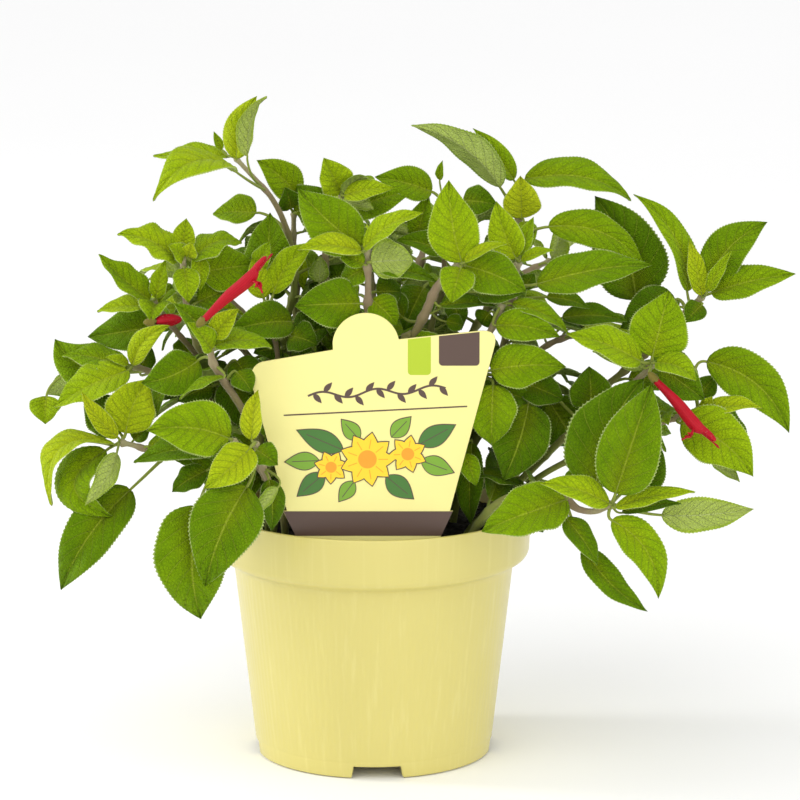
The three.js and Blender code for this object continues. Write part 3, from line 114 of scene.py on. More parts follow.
# Each stem: its root on the soil, its radius at the foot and at the tip, and the points on its way.
# Each leaf: where it leaves the stem, counted in points of the way, its blade's foot and tip, its width, how
# far its upper face rolls up from facing the eye, in degrees, how far it bows outwards and sideways, as shares
# of its length, and its tone from 0, young and yellow, to 9, old and dark.
STEMS = [
    ("stem_top_left", (-14, 14), (1.5, 0.8), (
        (-33, 154, 10), (-30, 179, 8), (-31, 195, 6), (-34, 206, 4), (-38, 214, 2), (-42, 219, 0),
        (-52, 230, -4),
    ), (
        (TIP, (-51.5, 229.5, -5), (-44, 253.5, -8), 11.5, 25, 0.05, 0.07, 2),
        (5.0, (-47.5, 230.5, 2), (-40, 253.5, 0), 8, 130, 0.14, 0, 3),
        (4.8, (-52.5, 225, -4), (-84, 214, -14), 18, 55, 0.26, 0, 3),
        (TIP, (-54.5, 230.5, 2), (-83, 230.5, 8), 11.5, 60, 0.02, 0.05, 3),
        (TIP, (-57, 233, 0), (-60, 240, -2), 3, 0, 0, 0, 4),
        (2.5, (-44, 209, 14), (-61, 209, 18), 14, 45, 0.03, 0, 5),
        (0.1, (-29.5, 160, 6), (-15.5, 165.5, 0), 15, 20, 0.1, 0, 9),
        (0.1, (-35.5, 156, 2), (-45.5, 155, -6), 12, 30, 0.1, 0, 9),
    )),
    ("stem_left_high", (-26, -2), (1.5, 0.8), (
        (-40, 121, -2), (-51, 137, -6), (-61, 150, -12), (-66, 156, -15), (-70, 168, -20), (-71, 175, -23),
        (-72, 190, -28), (-72, 194, -29),
    ), (
        (TIP, (-74, 190.5, -29), (-97, 201.5, -32), 14, 45, 0.14, 0, 3),
        (TIP, (-68.5, 191, -28), (-49, 198.5, -24), 14, 55, 0.18, 0, 4),
        (TIP, (-72.5, 194, -27), (-70.5, 207, -24), 8, 0, 0.05, 0, 2),
        (TIP, (-72, 191.5, -31), (-77.5, 196.5, -36), 7, 30, 0.1, 0, 3),
        (TIP, (-70, 192, -31), (-68.5, 197.5, -34), 6, 10, 0.1, 0, 2),
        (5.8, (-71.5, 187.5, -31), (-70, 174, -38), 9, 5, 0.1, 0, 4),
        (6.0, (-66.5, 192.5, -26), (-65.5, 178.5, -30), 6.5, 20, 0.1, 0, 3),
        (5.2, (-65.5, 186, -15), (-44, 189, -8), 16, 10, 0.08, 0, 6),
        (4.4, (-66.5, 174.5, -16), (-49.5, 180.5, -12), 12, 25, 0.1, 0, 7),
        (1.4, (-54, 145, -16), (-46.5, 124, -22), 17, 5, 0.1, 0, 9),
        (1.6, (-61.5, 142, -18), (-75, 136, -20), 10, 20, 0.1, 0, 9),
        (1.6, (-52, 151.5, -14), (-42.5, 137.5, -18), 12, 10, 0.1, 0, 9),
    )),
    ("stem_left_mid", (-34, 8), (1.3, 0.8), (
        (-42, 125, 4), (-55, 142, -2), (-66, 153, -6), (-73, 161, -10), (-77, 166, -12), (-82, 173, -16),
        (-84, 175, -17),
    ), (
        (TIP, (-84.5, 175.5, -17), (-104, 193, -15), 10.5, 35, 0.05, 0.07, 5),
        (TIP, (-82.5, 176, -19), (-78.5, 191, -21), 6.5, 20, 0.05, 0, 3),
        (TIP, (-86, 173, -19), (-105, 171, -16), 10, 55, 0.06, 0, 3),
        (TIP, (-81, 174, -13), (-73, 176.5, -6), 9, 60, 0.4, 0, 6),
        (TIP, (-82, 173, -19), (-84.5, 167, -30), 11, 20, 0.2, 0, 4),
        (3.8, (-80.5, 165.5, -8), (-108.5, 161, -3), 15, 15, 0.06, 0.02, 8),
        (2.0, (-71, 155, -4), (-73.5, 160.5, 0), 8, 10, 0.1, 0, 8),
    )),
    ("stem_left_far", (-42, -6), (1.4, 0.8), (
        (-43, 119, -8), (-58, 133, -14), (-70, 141, -16), (-79, 145, -16), (-86, 148, -16), (-92, 150, -18),
    ), (
        (TIP, (-91.5, 150, -22), (-77, 165.5, -27), 8, 15, 0.05, 0.12, 2),
        (TIP, (-93.5, 149, -18), (-118.5, 155, -17), 14, 50, 0.06, 0, 5),
        (TIP, (-93.5, 148, -24), (-122, 134, -32), 17.5, 45, 0.1, 0.05, 3),
        (4.0, (-98, 147, -8), (-121, 160.5, -4), 17, 5, 0.05, 0.16, 6),
        (TIP, (-93, 150.5, -21), (-102, 153.5, -23), 4, 30, 0.1, 0, 3),
        (3.8, (-88.5, 148, -8), (-84.5, 158, -4), 8, 10, 0.1, 0, 9),
        (4.4, (-112.5, 143, -6), (-124.5, 138.5, -2), 9, 155, 0.1, 0, 5),
        (4.6, (-124.5, 138, -14), (-125.5, 127, -18), 11, 15, 0.1, 0, 4),
    )),
    ("stem_left_front", (-27, -22), (1.5, 0.9), (
        (-41, 115, -34), (-50, 133, -44), (-57, 144, -50), (-61, 151, -54), (-62, 158, -56),
        (-62, 161, -57),
    ), (
        (TIP, (-60.5, 160.5, -59), (-51, 172, -61), 8, 10, 0.05, 0.05, 2),
        (TIP, (-60, 157.5, -59), (-38, 157, -57), 12, 55, 0.16, 0, 4),
        (TIP, (-62, 160.5, -58), (-75.5, 174, -60), 10, 25, 0.1, 0, 6),
        (3.8, (-61.5, 156, -59), (-70.5, 167, -66), 8, 30, 0.1, 0, 4),
        (2.9, (-57, 145.5, -52), (-74.5, 137.5, -46), 8, 70, 0.05, 0, 5),
        (3.0, (-66.5, 152, -44), (-88.5, 143.2, -47), 15, 5, 0.06, 0.08, 7),
        (1.9, (-52, 147.5, -48), (-46, 139.5, -46), 9, 20, 0.1, 0, 8),
    )),
    ("stem_left_low", (-40, -16), (1.3, 0.9), (
        (-40, 112, -18), (-53, 116, -24), (-66, 118, -28), (-78, 118, -32), (-85, 117, -36),
        (-92, 119, -38), (-97, 120, -40),
    ), (
        (TIP, (-99, 119, -43), (-124.5, 94.5, -54), 16, 60, 0.43, 0, 2),
        (TIP, (-102, 117, -46), (-99.5, 90.5, -54), 17, -42, 0.5, -0.25, 6),
        (TIP, (-98, 116, -50), (-110.5, 95, -61), 8, 160, -0.15, 0, 4),
        (2.8, (-93, 101.5, -44), (-121.5, 60, -60), 17.5, 10, 0.22, -0.02, 7),
        (TIP, (-94.5, 123.5, -38), (-85.5, 145, -32), 17, 5, 0.08, 0.06, 2),
        (TIP, (-97.5, 122, -42), (-111, 140, -42), 7, 20, 0.05, 0.08, 1),
        (TIP, (-96.5, 123.5, -32), (-110, 139.5, -26), 15, 10, 0.05, 0, 8),
        (4.5, (-91.5, 121, -30), (-85, 126.5, -28), 7, 20, 0.1, 0, 8),
    )),
    ("stem_label_left", (-33, -30), (1.5, 0.9), (
        (-35, 93, -40), (-39, 102, -50), (-43, 112, -58), (-45, 120, -62),
    ), (
        (TIP, (-47, 118, -65), (-65, 102, -73), 13, 10, 0.08, 0.05, 2),
        (TIP, (-46.5, 121, -62), (-44.5, 141, -58), 8, 25, 0.05, 0, 1),
        (TIP, (-44.5, 117, -57), (-36.5, 111, -53), 9, 15, 0.1, 0, 7),
        (2.5, (-48.5, 102.5, -67), (-65, 62.5, -80), 23, 5, 0.12, -0.04, 8),
        (1.8, (-40, 105.5, -59), (-39, 85, -60), 9, 20, 0.12, 0, 9),
        (1.8, (-36.5, 102.5, -63), (-45, 90.5, -70), 5, 150, 0.1, 0, 5),
    )),
    ("stem_label_low", (-38, -25), (1.4, 0.9), (
        (-37, 98, -34), (-43, 109, -44), (-49, 116, -56), (-54, 121, -62),
    ), (
        (TIP, (-55, 121.5, -63), (-86.5, 124.5, -68), 18.5, 5, 0.06, -0.08, 5),
        (TIP, (-56, 118.5, -58), (-92, 112.5, -52), 15, 50, 0.06, 0, 8),
        (2.1, (-64, 109, -53), (-77.5, 100.5, -54), 9, 20, 0.1, 0, 9),
        (2.7, (-67, 95, -72), (-66, 48.5, -86), 25, 0, 0.14, -0.07, 7),
    )),
    ("stem_upper_left", (-12, 26), (1.2, 0.8), (
        (-28, 164, 26), (-29, 179, 24), (-30, 196, 20), (-30, 209, 17),
    ), (
        (TIP, (-28.5, 215, 15), (-44, 229, 12), 12.5, 15, 0.1, -0.04, 5),
        (TIP, (-29, 209, 15), (-16.5, 217.5, 12), 14, 15, 0.1, 0, 8),
        (TIP, (-31, 210.5, 15), (-33, 218.5, 14), 9, 10, 0.1, 0, 9),
        (1.6, (-28, 192.5, 17), (-26.5, 178.5, 14), 4.5, 10, 0.1, 0, 3),
        (0.6, (-33, 179, 20), (-42, 186, 18), 12, 20, 0.1, 0, 9),
        (0.2, (-23, 175.5, 22), (-10.5, 184.5, 20), 13, 20, 0.1, 0, 9),
    )),
    ("stem_upper_mid", (-3, 12), (1.5, 0.8), (
        (-18, 160, 12), (-18, 179, 10), (-18, 195, 8), (-16, 204, 4), (-12, 215, 0), (-12, 217, -1),
    ), (
        (TIP, (-12, 216.5, -1), (-18.5, 230, -3), 12, 15, 0.05, 0.02, 3),
        (TIP, (-10.5, 215.5, -3), (2, 219, -9), 10, 100, 0.3, 0, 5),
        (TIP, (-11, 215.5, -5), (8, 218.5, -12), 8, 30, 0.08, 0, 3),
        (3.5, (-10.5, 209, 4), (15, 217.5, 2), 13, 25, 0.08, 0, 6),
        (TIP, (-10.5, 213, -5), (1, 210.5, -11), 6, 150, 0.1, 0, 4),
        (1.1, (-20.5, 182, 6), (-20, 192.5, 5), 7, 165, 0.05, 0, 5),
        (0.7, (-15.5, 179, 14), (-8, 190, 16), 11, 20, 0.1, 0, 9),
    )),
    ("stem_leaf_fan", (-12, -8), (1.3, 0.8), (
        (-33, 121, -8), (-35, 140, -10), (-37, 158, -12), (-40, 172, -14),
    ), (
        (TIP, (-40, 179, -7), (-39, 209.5, -4), 17, 5, 0.06, 0, 7),
        (TIP, (-38, 177.5, -16), (-21.5, 198, -14), 10, 20, 0.05, 0.1, 3),
        (TIP, (-41.5, 176, -17), (-46, 191.5, -14), 9, 15, 0.05, 0, 2),
        (2.9, (-43.5, 187.5, -13), (-39, 198, -17), 7, 20, 0.1, 0, 4),
        (2.4, (-31, 167, -18), (-54.5, 163.5, -27), 14, 20, 0.12, 0, 7),
        (2.1, (-31.5, 161.5, -22), (-21, 158, -28), 12, 20, 0.1, 0, 9),
    )),
    ("stem_mid", (2, -14), (1.6, 0.9), (
        (-2, 152, -31), (-2, 171, -34), (-2, 183, -36), (-2, 192, -38), (-2, 195, -39),
    ), (
        (TIP, (-4.5, 194, -41), (-29, 195.5, -46), 10, 45, 0.1, 0, 2),
        (TIP, (-4.5, 196, -39), (-28.5, 218.5, -43), 18, 5, 0.06, 0.05, 6),
        (TIP, (-3.5, 195, -43), (19, 209.5, -46), 10, 45, 0.14, 0, 2),
        (2.7, (-1, 190, -41), (15, 190.5, -46), 14, 165, 0.1, 0, 4),
        (2.7, (-3.5, 189, -40), (-14, 194, -37), 7, 20, 0.1, 0, 6),
        (2.5, (-3, 187.5, -35), (-13, 181.5, -33), 9, 20, 0.1, 0, 7),
        (2.5, (0.5, 187.5, -39), (25, 182.5, -42), 9, 45, 0.08, 0, 7),
        (1.1, (-5, 174, -36), (-30, 173, -40), 17, 5, 0.08, 0, 7),
        (1.2, (-0.5, 175.5, -34), (9.5, 165.5, -36), 11, 15, 0.1, 0, 6),
        (1.3, (1, 178.5, -26), (11, 178.5, -22), 12, 15, 0.1, 0, 9),
    )),
    ("stem_mid_back", (10, 18), (1.4, 0.8), (
        (21, 160, 20), (26, 179, 19), (27, 196, 16), (27, 212, 13),
    ), (
        (TIP, (22, 217, 10), (0.5, 222.5, 6), 12, 20, 0.1, 0, 6),
        (TIP, (25, 221.5, 12), (26, 229, 10), 3, 20, 0.1, 0, 5),
        (TIP, (34, 213.5, 12), (47, 212, 8), 11, 15, 0.1, 0, 8),
        (2.1, (16.5, 199, 11), (21, 216, 9), 9, 10, 0.1, 0, 6),
        (2.0, (26.5, 194, 8), (8.5, 199, 4), 9, 30, 0.1, 0, 7),
        (1.9, (13, 201, 9), (6.5, 203, 6), 5, 150, 0.1, 0, 4),
        (0.9, (19, 180, 6), (11.5, 163.5, -2), 14, 10, 0.1, 0, 9),
        (1.0, (30, 175.5, 10), (33.5, 163.5, 4), 8, 10, 0.1, 0, 9),
    )),
    ("stem_mid_right", (14, -18), (1.7, 1), (
        (12, 156, -32), (15, 161, -33), (20, 171, -35), (24, 180, -37), (29, 186, -39), (33, 190, -41),
    ), (
        (TIP, (33.5, 190, -43), (28.5, 221.5, -40), 17, 0, 0.06, 0.04, 4),
        (TIP, (33, 187.5, -44), (29.5, 174, -52), 12, 5, 0.12, 0, 4),
        (TIP, (35, 188.5, -42), (58, 178.5, -44), 15, 5, 0.08, 0.04, 6),
        (TIP, (34.5, 190, -46), (50.5, 197.5, -49), 6, 50, 0.08, 0, 2),
        (3.0, (39.5, 178.5, -34), (57, 178, -32), 10, 15, 0.1, 0, 9),
        (2.6, (25.5, 173, -36), (47, 174, -34), 7, 45, 0.05, 0, 8),
        (2.2, (27.5, 167, -28), (34.5, 165.5, -24), 6, 10, 0.1, 0, 8),
        (1.7, (11.5, 168.5, -26), (2.5, 175.5, -22), 12, 10, 0.1, 0, 9),
    )),
    ("stem_label_right", (24, -22), (1.5, 1), (
        (30, 109, -28), (36, 129, -32), (40, 144, -34), (42, 158, -35), (47, 168, -36), (49, 174, -37),
    ), (
        (TIP, (46.5, 165.5, -40), (71, 161, -45), 11, 10, 0.08, 0.05, 6),
        (TIP, (52.5, 174, -38), (75, 163, -41), 8, 45, 0.1, 0, 5),
        (2.5, (44.5, 148, -43), (73.5, 149.5, -48), 15, 5, 0.06, 0.04, 6),
        (2.2, (56.5, 143.5, -32), (73, 136.5, -34), 12, 10, 0.08, 0, 9),
        (2.0, (45.5, 142.5, -42), (45, 118, -44), 17, 5, 0.08, 0, 5),
        (1.9, (46, 141, -36), (60, 136, -34), 10, 10, 0.08, 0, 8),
        (1.8, (59, 135, -36), (49, 104.5, -42), 20, 5, 0.08, 0.05, 8),
        (0.1, (37.5, 120, -36), (37, 87, -44), 10, 25, 0.1, 0, 9),
        (0.2, (34.5, 115.5, -41), (39.5, 102.5, -43), 7, 10, 0.1, 0, 6),
        (4.0, (44, 170.5, -32), (41, 165.5, -30), 8, 10, 0.1, 0, 9),
    )),
    ("stem_right_mid", (21, -3), (1.5, 0.9), (
        (41, 125, -4), (47, 148, -10), (51, 164, -16), (53, 175, -20), (54, 185, -24), (55, 190, -26),
    ), (
        (TIP, (54, 191.5, -28), (46.5, 213.5, -27), 11.5, 0, 0.06, 0.05, 3),
        (TIP, (55.5, 192.5, -27), (60.5, 207.5, -24), 6, 20, 0.05, 0, 4),
        (TIP, (56, 190.5, -29), (68.5, 195, -32), 4.5, 35, 0.1, 0, 3),
        (3.6, (62, 181.5, -32), (106, 190, -38), 14, 20, 0.08, 0, 6),
        (3.3, (57, 180, -16), (61, 185.5, -14), 6, 10, 0.1, 0, 9),
        (3.0, (65.5, 176.5, -20), (82.5, 172, -20), 7, 40, 0.1, 0, 8),
        (2.5, (71.5, 168.5, -16), (96.5, 167, -14), 9, 35, 0.12, 0, 9),
        (1.9, (83, 132.5, -30), (82, 150, -28), 15, 5, 0.08, 0, 8),
        (1.3, (66.5, 136.5, -22), (78, 118, -24), 20, 5, 0.08, 0, 9),
    )),
    ("stem_top_mid", (26, 16), (1.5, 0.9), (
        (44, 137, 16), (50, 160, 14), (53, 179, 12), (55, 195, 10), (55, 205, 8), (55, 208, 8),
    ), (
        (TIP, (48, 218.5, 4), (14.5, 243.5, -4), 12, 150, -0.02, 0.12, 6),
        (TIP, (53, 221.5, 11), (38, 241.5, 7), 8, 25, 0.05, 0, 4),
        (TIP, (56, 207, 5), (55.5, 223, 2), 13, 5, 0.05, 0, 1),
        (TIP, (57, 221.5, 11), (99, 214.5, 15), 14, 40, 0.17, 0, 6),
        (TIP, (57, 205.5, 4), (59, 194, -2), 7, 10, 0.1, 0, 4),
        (3.3, (66, 203.5, -4), (103, 188.5, -6), 13, 20, 0.08, 0.12, 6),
    )),
    ("stem_right_front", (36, -14), (1.5, 1), (
        (60, 109, -20), (73, 122, -30), (87, 133, -40), (98, 142, -46), (103, 147, -50), (106, 151, -52),
    ), (
        (TIP, (106, 153.5, -54), (112, 179, -51), 20, 0, 0.08, 0, 5),
        (TIP, (101.5, 151.5, -55), (73, 162.5, -60), 13, 30, 0.1, 0, 3),
        (TIP, (103, 149, -56), (83, 156, -62), 9, 140, 0.05, 0, 4),
        (TIP, (107.5, 151, -57), (123.5, 144.5, -64), 11, 40, 0.16, 0, 4),
        (TIP, (109, 149, -48), (126, 136.5, -50), 13, 10, 0.08, 0, 8),
    )),
    ("stem_right_high", (42, 2), (1.5, 0.9), (
        (65, 121, 4), (86, 140, 0), (105, 156, -4), (116, 168, -6), (122, 174, -8), (125, 177, -10),
    ), (
        (3.7, (119, 178.5, -9), (98, 216, -8), 10.5, 35, 0.1, -0.1, 5),
        (TIP, (124.5, 177, -13), (119.5, 198.5, -12), 7, 15, 0.05, 0, 2),
        (TIP, (127, 183, -12), (149, 205.5, -15), 15, 10, 0.08, 0.09, 6),
        (TIP, (128, 178, -14), (160, 185.5, -20), 12, 25, 0.08, 0, 5),
        (TIP, (126.5, 178.5, -17), (135.5, 194.5, -21), 5, 25, 0.05, 0, 3),
        (2.3, (99.5, 175.5, 4), (83.5, 215.5, 6), 25, 5, 0.06, -0.07, 8),
        (3.4, (114.5, 175.5, -4), (93.5, 164.5, -8), 16, 10, 0.06, 0, 9),
        (4.1, (124.5, 173.5, -12), (118, 166.5, -16), 8, 10, 0.1, 0, 8),
    )),
    ("stem_right_low", (41, -22), (1.3, 0.9), (
        (60, 104, -26), (83, 117, -30), (102, 125, -36), (117, 130, -40), (124, 132, -43),
    ), (
        (TIP, (126.5, 151.5, -38), (158.5, 123.5, -46), 16.5, 5, 0.04, 0.14, 6),
        (TIP, (124, 138, -36), (130.5, 146.5, -34), 8, 10, 0.1, 0, 9),
        (TIP, (126, 132, -47), (148, 133.5, -52), 8, 45, 0.1, 0, 2),
        (TIP, (126, 132.5, -46), (129, 138, -48), 5, 10, 0.1, 0, 1),
        (3.4, (117, 127.5, -50), (145, 106.5, -58), 19, 5, 0.08, 0.1, 4),
        (3.6, (125.5, 129.5, -40), (143.5, 119.5, -43), 13, 15, 0.1, 0, 8),
        (3.3, (129.5, 112, -45), (140.5, 104.5, -47), 5, 155, 0.1, 0, 5),
    )),
    ("stem_right_hang", (36, -30), (1.6, 1), (
        (45, 94, -42), (56, 100, -50), (67, 101, -58), (72, 99, -62), (78, 94, -66), (85, 93, -70),
        (91, 96, -74),
    ), (
        (TIP, (90, 96, -77), (63.5, 104.5, -82), 11, 35, 0.1, 0, 3),
        (TIP, (92.5, 94.5, -77), (123, 101.5, -82), 9, 50, 0.05, 0, 3),
        (TIP, (95, 92.5, -71), (118, 96, -70), 7, 45, 0.06, 0, 8),
        (TIP, (110, 91.5, -66), (146, 94.5, -68), 12, 170, 0.04, 0.04, 4),
        (TIP, (91, 89.5, -77), (109.5, 57.5, -86), 12.5, 5, 0.1, 0.15, 4),
        (TIP, (92.5, 100, -79), (106, 143, -74), 21, 0, 0.08, 0, 7),
        (TIP, (85, 102.5, -64), (103, 145.5, -60), 26, 5, 0.06, 0.08, 8),
        (TIP, (98, 102.5, -62), (109.5, 118.5, -60), 14, 10, 0.08, -0.1, 9),
        (3.0, (73.5, 97.5, -66), (40, 85.5, -72), 18, 20, 0.14, 0.05, 5),
        (2.8, (60, 92.5, -60), (65, 84.5, -62), 7, 10, 0.1, 0, 8),
        (3.2, (80.5, 79, -64), (106, 53.5, -72), 9.5, 15, 0.06, -0.1, 7),
        (3.3, (73.5, 90.5, -60), (86.5, 72, -62), 9, 10, 0.06, 0, 7),
    )),
]

# Each bloom: the stem it grows on, where its stalk leaves the stem, the foot of its tube, the mouth and the
# tips of its upper and its lower lip
FLOWERS = [
  {
    "name": "flower_left",
    "stem": "stem_left_front",
    "at": 4.7,
    "foot": [-64, 168, -66],
    "mouth": [-47, 183.5, -70],
    "upper_lip": [-40.5, 192, -72],
    "lower_lip": [-42, 178, -76],
  },
  {
    "name": "flower_right",
    "stem": "stem_right_front",
    "at": TIP,
    "foot": [107.5, 144, -62],
    "mouth": [122.5, 127, -68],
    "upper_lip": [130.5, 120.5, -70],
    "lower_lip": [117.5, 121, -73],
  },
]
# The green cup's rows are (how far along it, radius)
CALYX = {"length": 3.5, "stalk": 0.6, "stalk_sides": 8, "sides": 15, "teeth": 3, "tooth": 0.22, "flare": 0.25,
         "rows": ((-0.1, 0.5), (0, 0.75), (0.15, 1.2), (0.4, 1.5), (0.7, 1.6), (0.9, 1.65), (1.0, 1.7),
                  (1.25, 1.3), (1.45, 0.9))}
# A bloom's tube and hood, as (how far along, radius), and its lip's three lobes, as (sideways, length, width)
BLOOM = {"steps": 40, "sides": 20, "ridges": 5, "ridge": 0.035,
         "radius": ((0, 1.2), (0.12, 1.5), (0.3, 2.25), (0.48, 2.5), (0.56, 2.3), (0.7, 1.5), (0.85, 1.25),
                    (0.95, 0.85), (1, 0.3)),
         "flat": ((0, 1), (0.5, 1.0), (0.6, 0.85), (0.8, 0.75), (1, 0.7)),
         "lobes": ((0.0, 1.0, 1.35), (1.25, 0.66, 0.85), (-1.25, 0.66, 0.85)),
         "lobe": ((0, 0.6), (0.35, 0.75), (0.75, 1.0), (0.92, 0.75), (1, 0.15)),
         "stamen": ((0, 0.2), (0.88, 0.2), (0.92, 0.36), (1, 0.25)), "stamens": (0.35, -0.35),
         "hairs": 110, "hair": 0.9, "seed": 911}
BUD_FORM = {"rows": 22, "sides": 24, "flat": 0.9, "folds": 4, "fold": 0.08, "hairs": 70,
            "hair": 0.8, "seed": 73}
BACKWARDS = np.array([0, 1, 0.01])
BUD = {"stem": "stem_left_mid", "at": 4, "from": [-83, 167, -28], "to": [-72.5, 168, -26], "radius": 2.5}

# Stems behind, placed by rule: the direction that each leans to in degrees from +X, how far out it ends and
# how high
BACK_STEMS = [
  [20, 88, 160],
  [48, 104, 176],
  [66, 62, 196],
  [92, 104, 176],
  [116, 64, 194],
  [140, 98, 172],
  [166, 78, 164],
]
BACK_RULE = {
  "seed": 20417,
  "root_radius": (30, 38),
  "swing": (-8, 8),
  "way_parts": (0.25, 0.5, 0.75, 1),
  "out_power": 1.35,
  "rise_start": 0.12,
  "stem": (1.5, 0.9),
  "shifts": (0, 4, -4, 8, -8, 12, -12, 16, -16, 20, -20, 24, -24),
  "nodes": (0.2, 0.42, 0.62, 0.8),
  "pair_turns": (1.35, 0.6),
  "heading": (-0.5, 0.5),
  "size": (0.7, 1.1),
  "width": (0.45, 0.55),
  "roll": (-45, 45),
  "arch": (0.05, 0.15),
  "face": (0.8, 0.45),
  "stalk_rise": 0.4,
  "leaf": {"length": 36, "first": 1.05, "loss": 0.1, "stalk": 6.5, "rise": (-0.7, 0.35)},
  "tuft": {"length": 24, "count": 3, "stalk": 1.4, "rise": (-0.2, 0.9)},
  "tries": 10,
}

# Where the crown ends as seen from the eye, and the gaps that show light through it: (across, up) points and
# (left, right, low, high) windows
CROWN = [
  [-117, 121], [-107, 158], [-99, 167], [-93, 190], [-72, 199], [-60, 190], [-47, 204], [-33, 212],
  [-19, 218], [-8, 215], [7, 208], [22, 212], [35, 215], [51, 211], [63, 201], [86, 209],
  [104, 198], [110, 179], [119, 166], [121, 129], [111, 109], [88, 106], [73, 119], [63, 105],
  [58, 58], [-53, 58], [-62, 97], [-85, 119], [-100, 121],
]
CLEARINGS = [
  [-53, -44, 150, 156], [-54, -41, 171, 178], [-38, -29, 172, 181], [-21, -17, 162, 167],
  [62, 73, 108, 118], [47, 71, 156, 161], [65, 98, 149, 160], [73, 87, 152, 162], [77, 99, 147, 149],
  [34, 40, 178, 185], [-74, -66, 137, 143], [-30, -19, 199, 209], [-28, -19, 190, 195],
  [-17, -13, 175, 194], [-6, -4, 175, 185], [-1, 4, 178, 187], [16, 22, 190, 195], [37, 41, 198, 208],
  [77, 99, 167, 179], [28, 42, 162, 172], [-63, -56, 178, 183], [-73, -67, 158, 166],
  [37, 44, 116, 127], [86, 98, 142, 148], [56, 62, 186, 195], [1, 14, 200, 212], [1, 15, 198, 205],
  [27.5, 39, 162, 169.8], [-8.5, 3, 174.5, 186], [-20, -12, 180, 192], [-28.5, -20.5, 197, 209],
  [61, 84, 191.5, 198.5], [-69, -63, 177, 182], [34, 38.5, 178, 184],
]

# The ways in which a leaf may bend clear of other stems: how far its foot and its tip move along the line of
# sight, and how much further it rolls. Which one a leaf takes is read from its node's corners.
BENDS = [
  [0, 0, 0], [0, -5, 0], [0, 5, 0], [-3, -9, 0], [3, 9, 0], [0, 0, 25], [0, 0, -25], [0, -12, 0],
  [0, 12, 0], [-6, -14, 0], [6, 14, 0], [-4, -6, 30], [4, 6, -30], [-10, -18, 15], [10, 18, -15],
  [-14, -24, 0], [14, 24, 0], [-18, -30, 0], [18, 30, 0], [-20, -20, 0], [20, 20, 0], [-28, -30, 0],
  [28, 30, 0],
]
# The share of a leaf's corners that its node must have at least
LEAST_SHARE = 0.45
BLADE_FOLD = 0.22
BLADE_NOTCH = 0.84
BLADE_WIDEN = 1.16
BLADE_LEAST = 6.6
MIDRIB_RISE = 0.45
WAY_START = 2

# How finely leaves and stems are formed. A tooth leans towards the leaf's tip by a share of a step, and is as
# deep as a share of the half width.
TOOTH = {"lean": 0.4, "depth": 0.045}
VEINS = {"pairs": 7.5, "rake": 0.27, "swell": 0.038}
WAVE = {"count": (1.3, 2.9), "height": (0.015, 0.07), "uneven": 0.03}
CURL = {"start": 0.5, "tip": (-0.01, 0.09), "edge": (-0.02, 0.16)}
FOLD_RANGE = (0.8, 2.1)
BLADE_THICK = {"middle": 0.34, "edge": 0.12}
MIDRIB = {"deep": 0.4, "deep_width": 0.12, "groove": 0.2, "groove_width": 0.1}
RIM_HAIR = {"length": 0.45, "uneven": (0.7, 1.2), "thick": 0.028}
# From what length times width, in square millimetres, a leaf is large or middling. For the middling ones the
# plain solid and the fine blade differ.
LARGE_LEAF = 500
MIDDLING_LEAF = {"solid": 180, "fine": 160}
# Steps along a blade and places across its half, for large, middling and small leaves
FINENESS = {
    "front": [(68, (0, 0.07, 0.18, 0.32, 0.48, 0.64, 0.8, 0.92, 1)),
              (52, (0, 0.1, 0.27, 0.48, 0.7, 0.88, 1)), (36, (0, 0.16, 0.45, 0.78, 1))],
    "behind": [(40, (0, 0.16, 0.45, 0.78, 1)), (28, (0, 0.16, 0.45, 0.78, 1)), (20, (0, 0.5, 1))],
}
PETIOLE = {"wide": 0.62, "flat": 0.85, "sides": 8}
STEM = {"step": 1.6, "sides": 12, "squareness": 3.6, "swell": 0.22, "node": 1.6, "young": 60.0,
        "most": 0.35, "end": 0.6}
BLADE_SLOT = 0
STEM_SLOT = 1
HAIR_SLOT = 2
BOX_LOW, BOX_HIGH = (np.array(corner) for corner in cad_box)

# Further leaves by rule: the room that a leaf takes is counted in cells
FILL = {"seed": 3301, "room": 2.6, "cell": 2.0, "shared": 0.1, "first": 9.0, "lowest": 0.12, "behind": 1.5,
        "spacing": (8.5, 12.5), "tries": 9, "young": 17.0, "old": 34.0, "heading": (-0.7, 0.7),
        "rise": (-0.75, 0.45), "size": (0.75, 1.1), "stalk": (0.16, 0.3), "width": (0.42, 0.54),
        "roll": (-45, 45), "arch": (0.04, 0.16), "sweep": (-0.05, 0.05), "tone": (0, 0.2)}
ROOM_LOW = (BOX_LOW - AXIS) / MM + 1.0
ROOM_HIGH = (BOX_HIGH - AXIS) / MM - 1.0
# How near further leaves come to the pot's rim, and how far out and up the room before the label stays free
RIM_ROOM = {"above": 2, "beside": 3}
LABEL_ROOM = {"behind": 3, "beside": 50, "top": 182}

# Colours, as the linear light that each surface reflects
LEAF_TONES = [(0.0, (0.46, 0.52, 0.012)), (0.3, (0.315, 0.45, 0.005)), (0.55, (0.2, 0.33, 0.0025)),
              (0.8, (0.115, 0.22, 0.0015)), (1.0, (0.07, 0.15, 0.0015))]
LEAF_WARM = (0.36, 0.37, 0.008, 1)
# Painted shade: multiplied into the green in the grooves beside the veins and along the fine net
LEAF_GROOVE_SHADE = (0.55, 0.62, 0.5, 1)
LEAF_VEIN = (0.42, 0.5, 0.05, 1)
LEAF_RIM = (0.58, 0.64, 0.28, 1)
LEAF_UNDER = (0.4, 0.49, 0.12, 1)
LEAF_UNDER_VEIN = (0.40, 0.46, 0.19, 1)
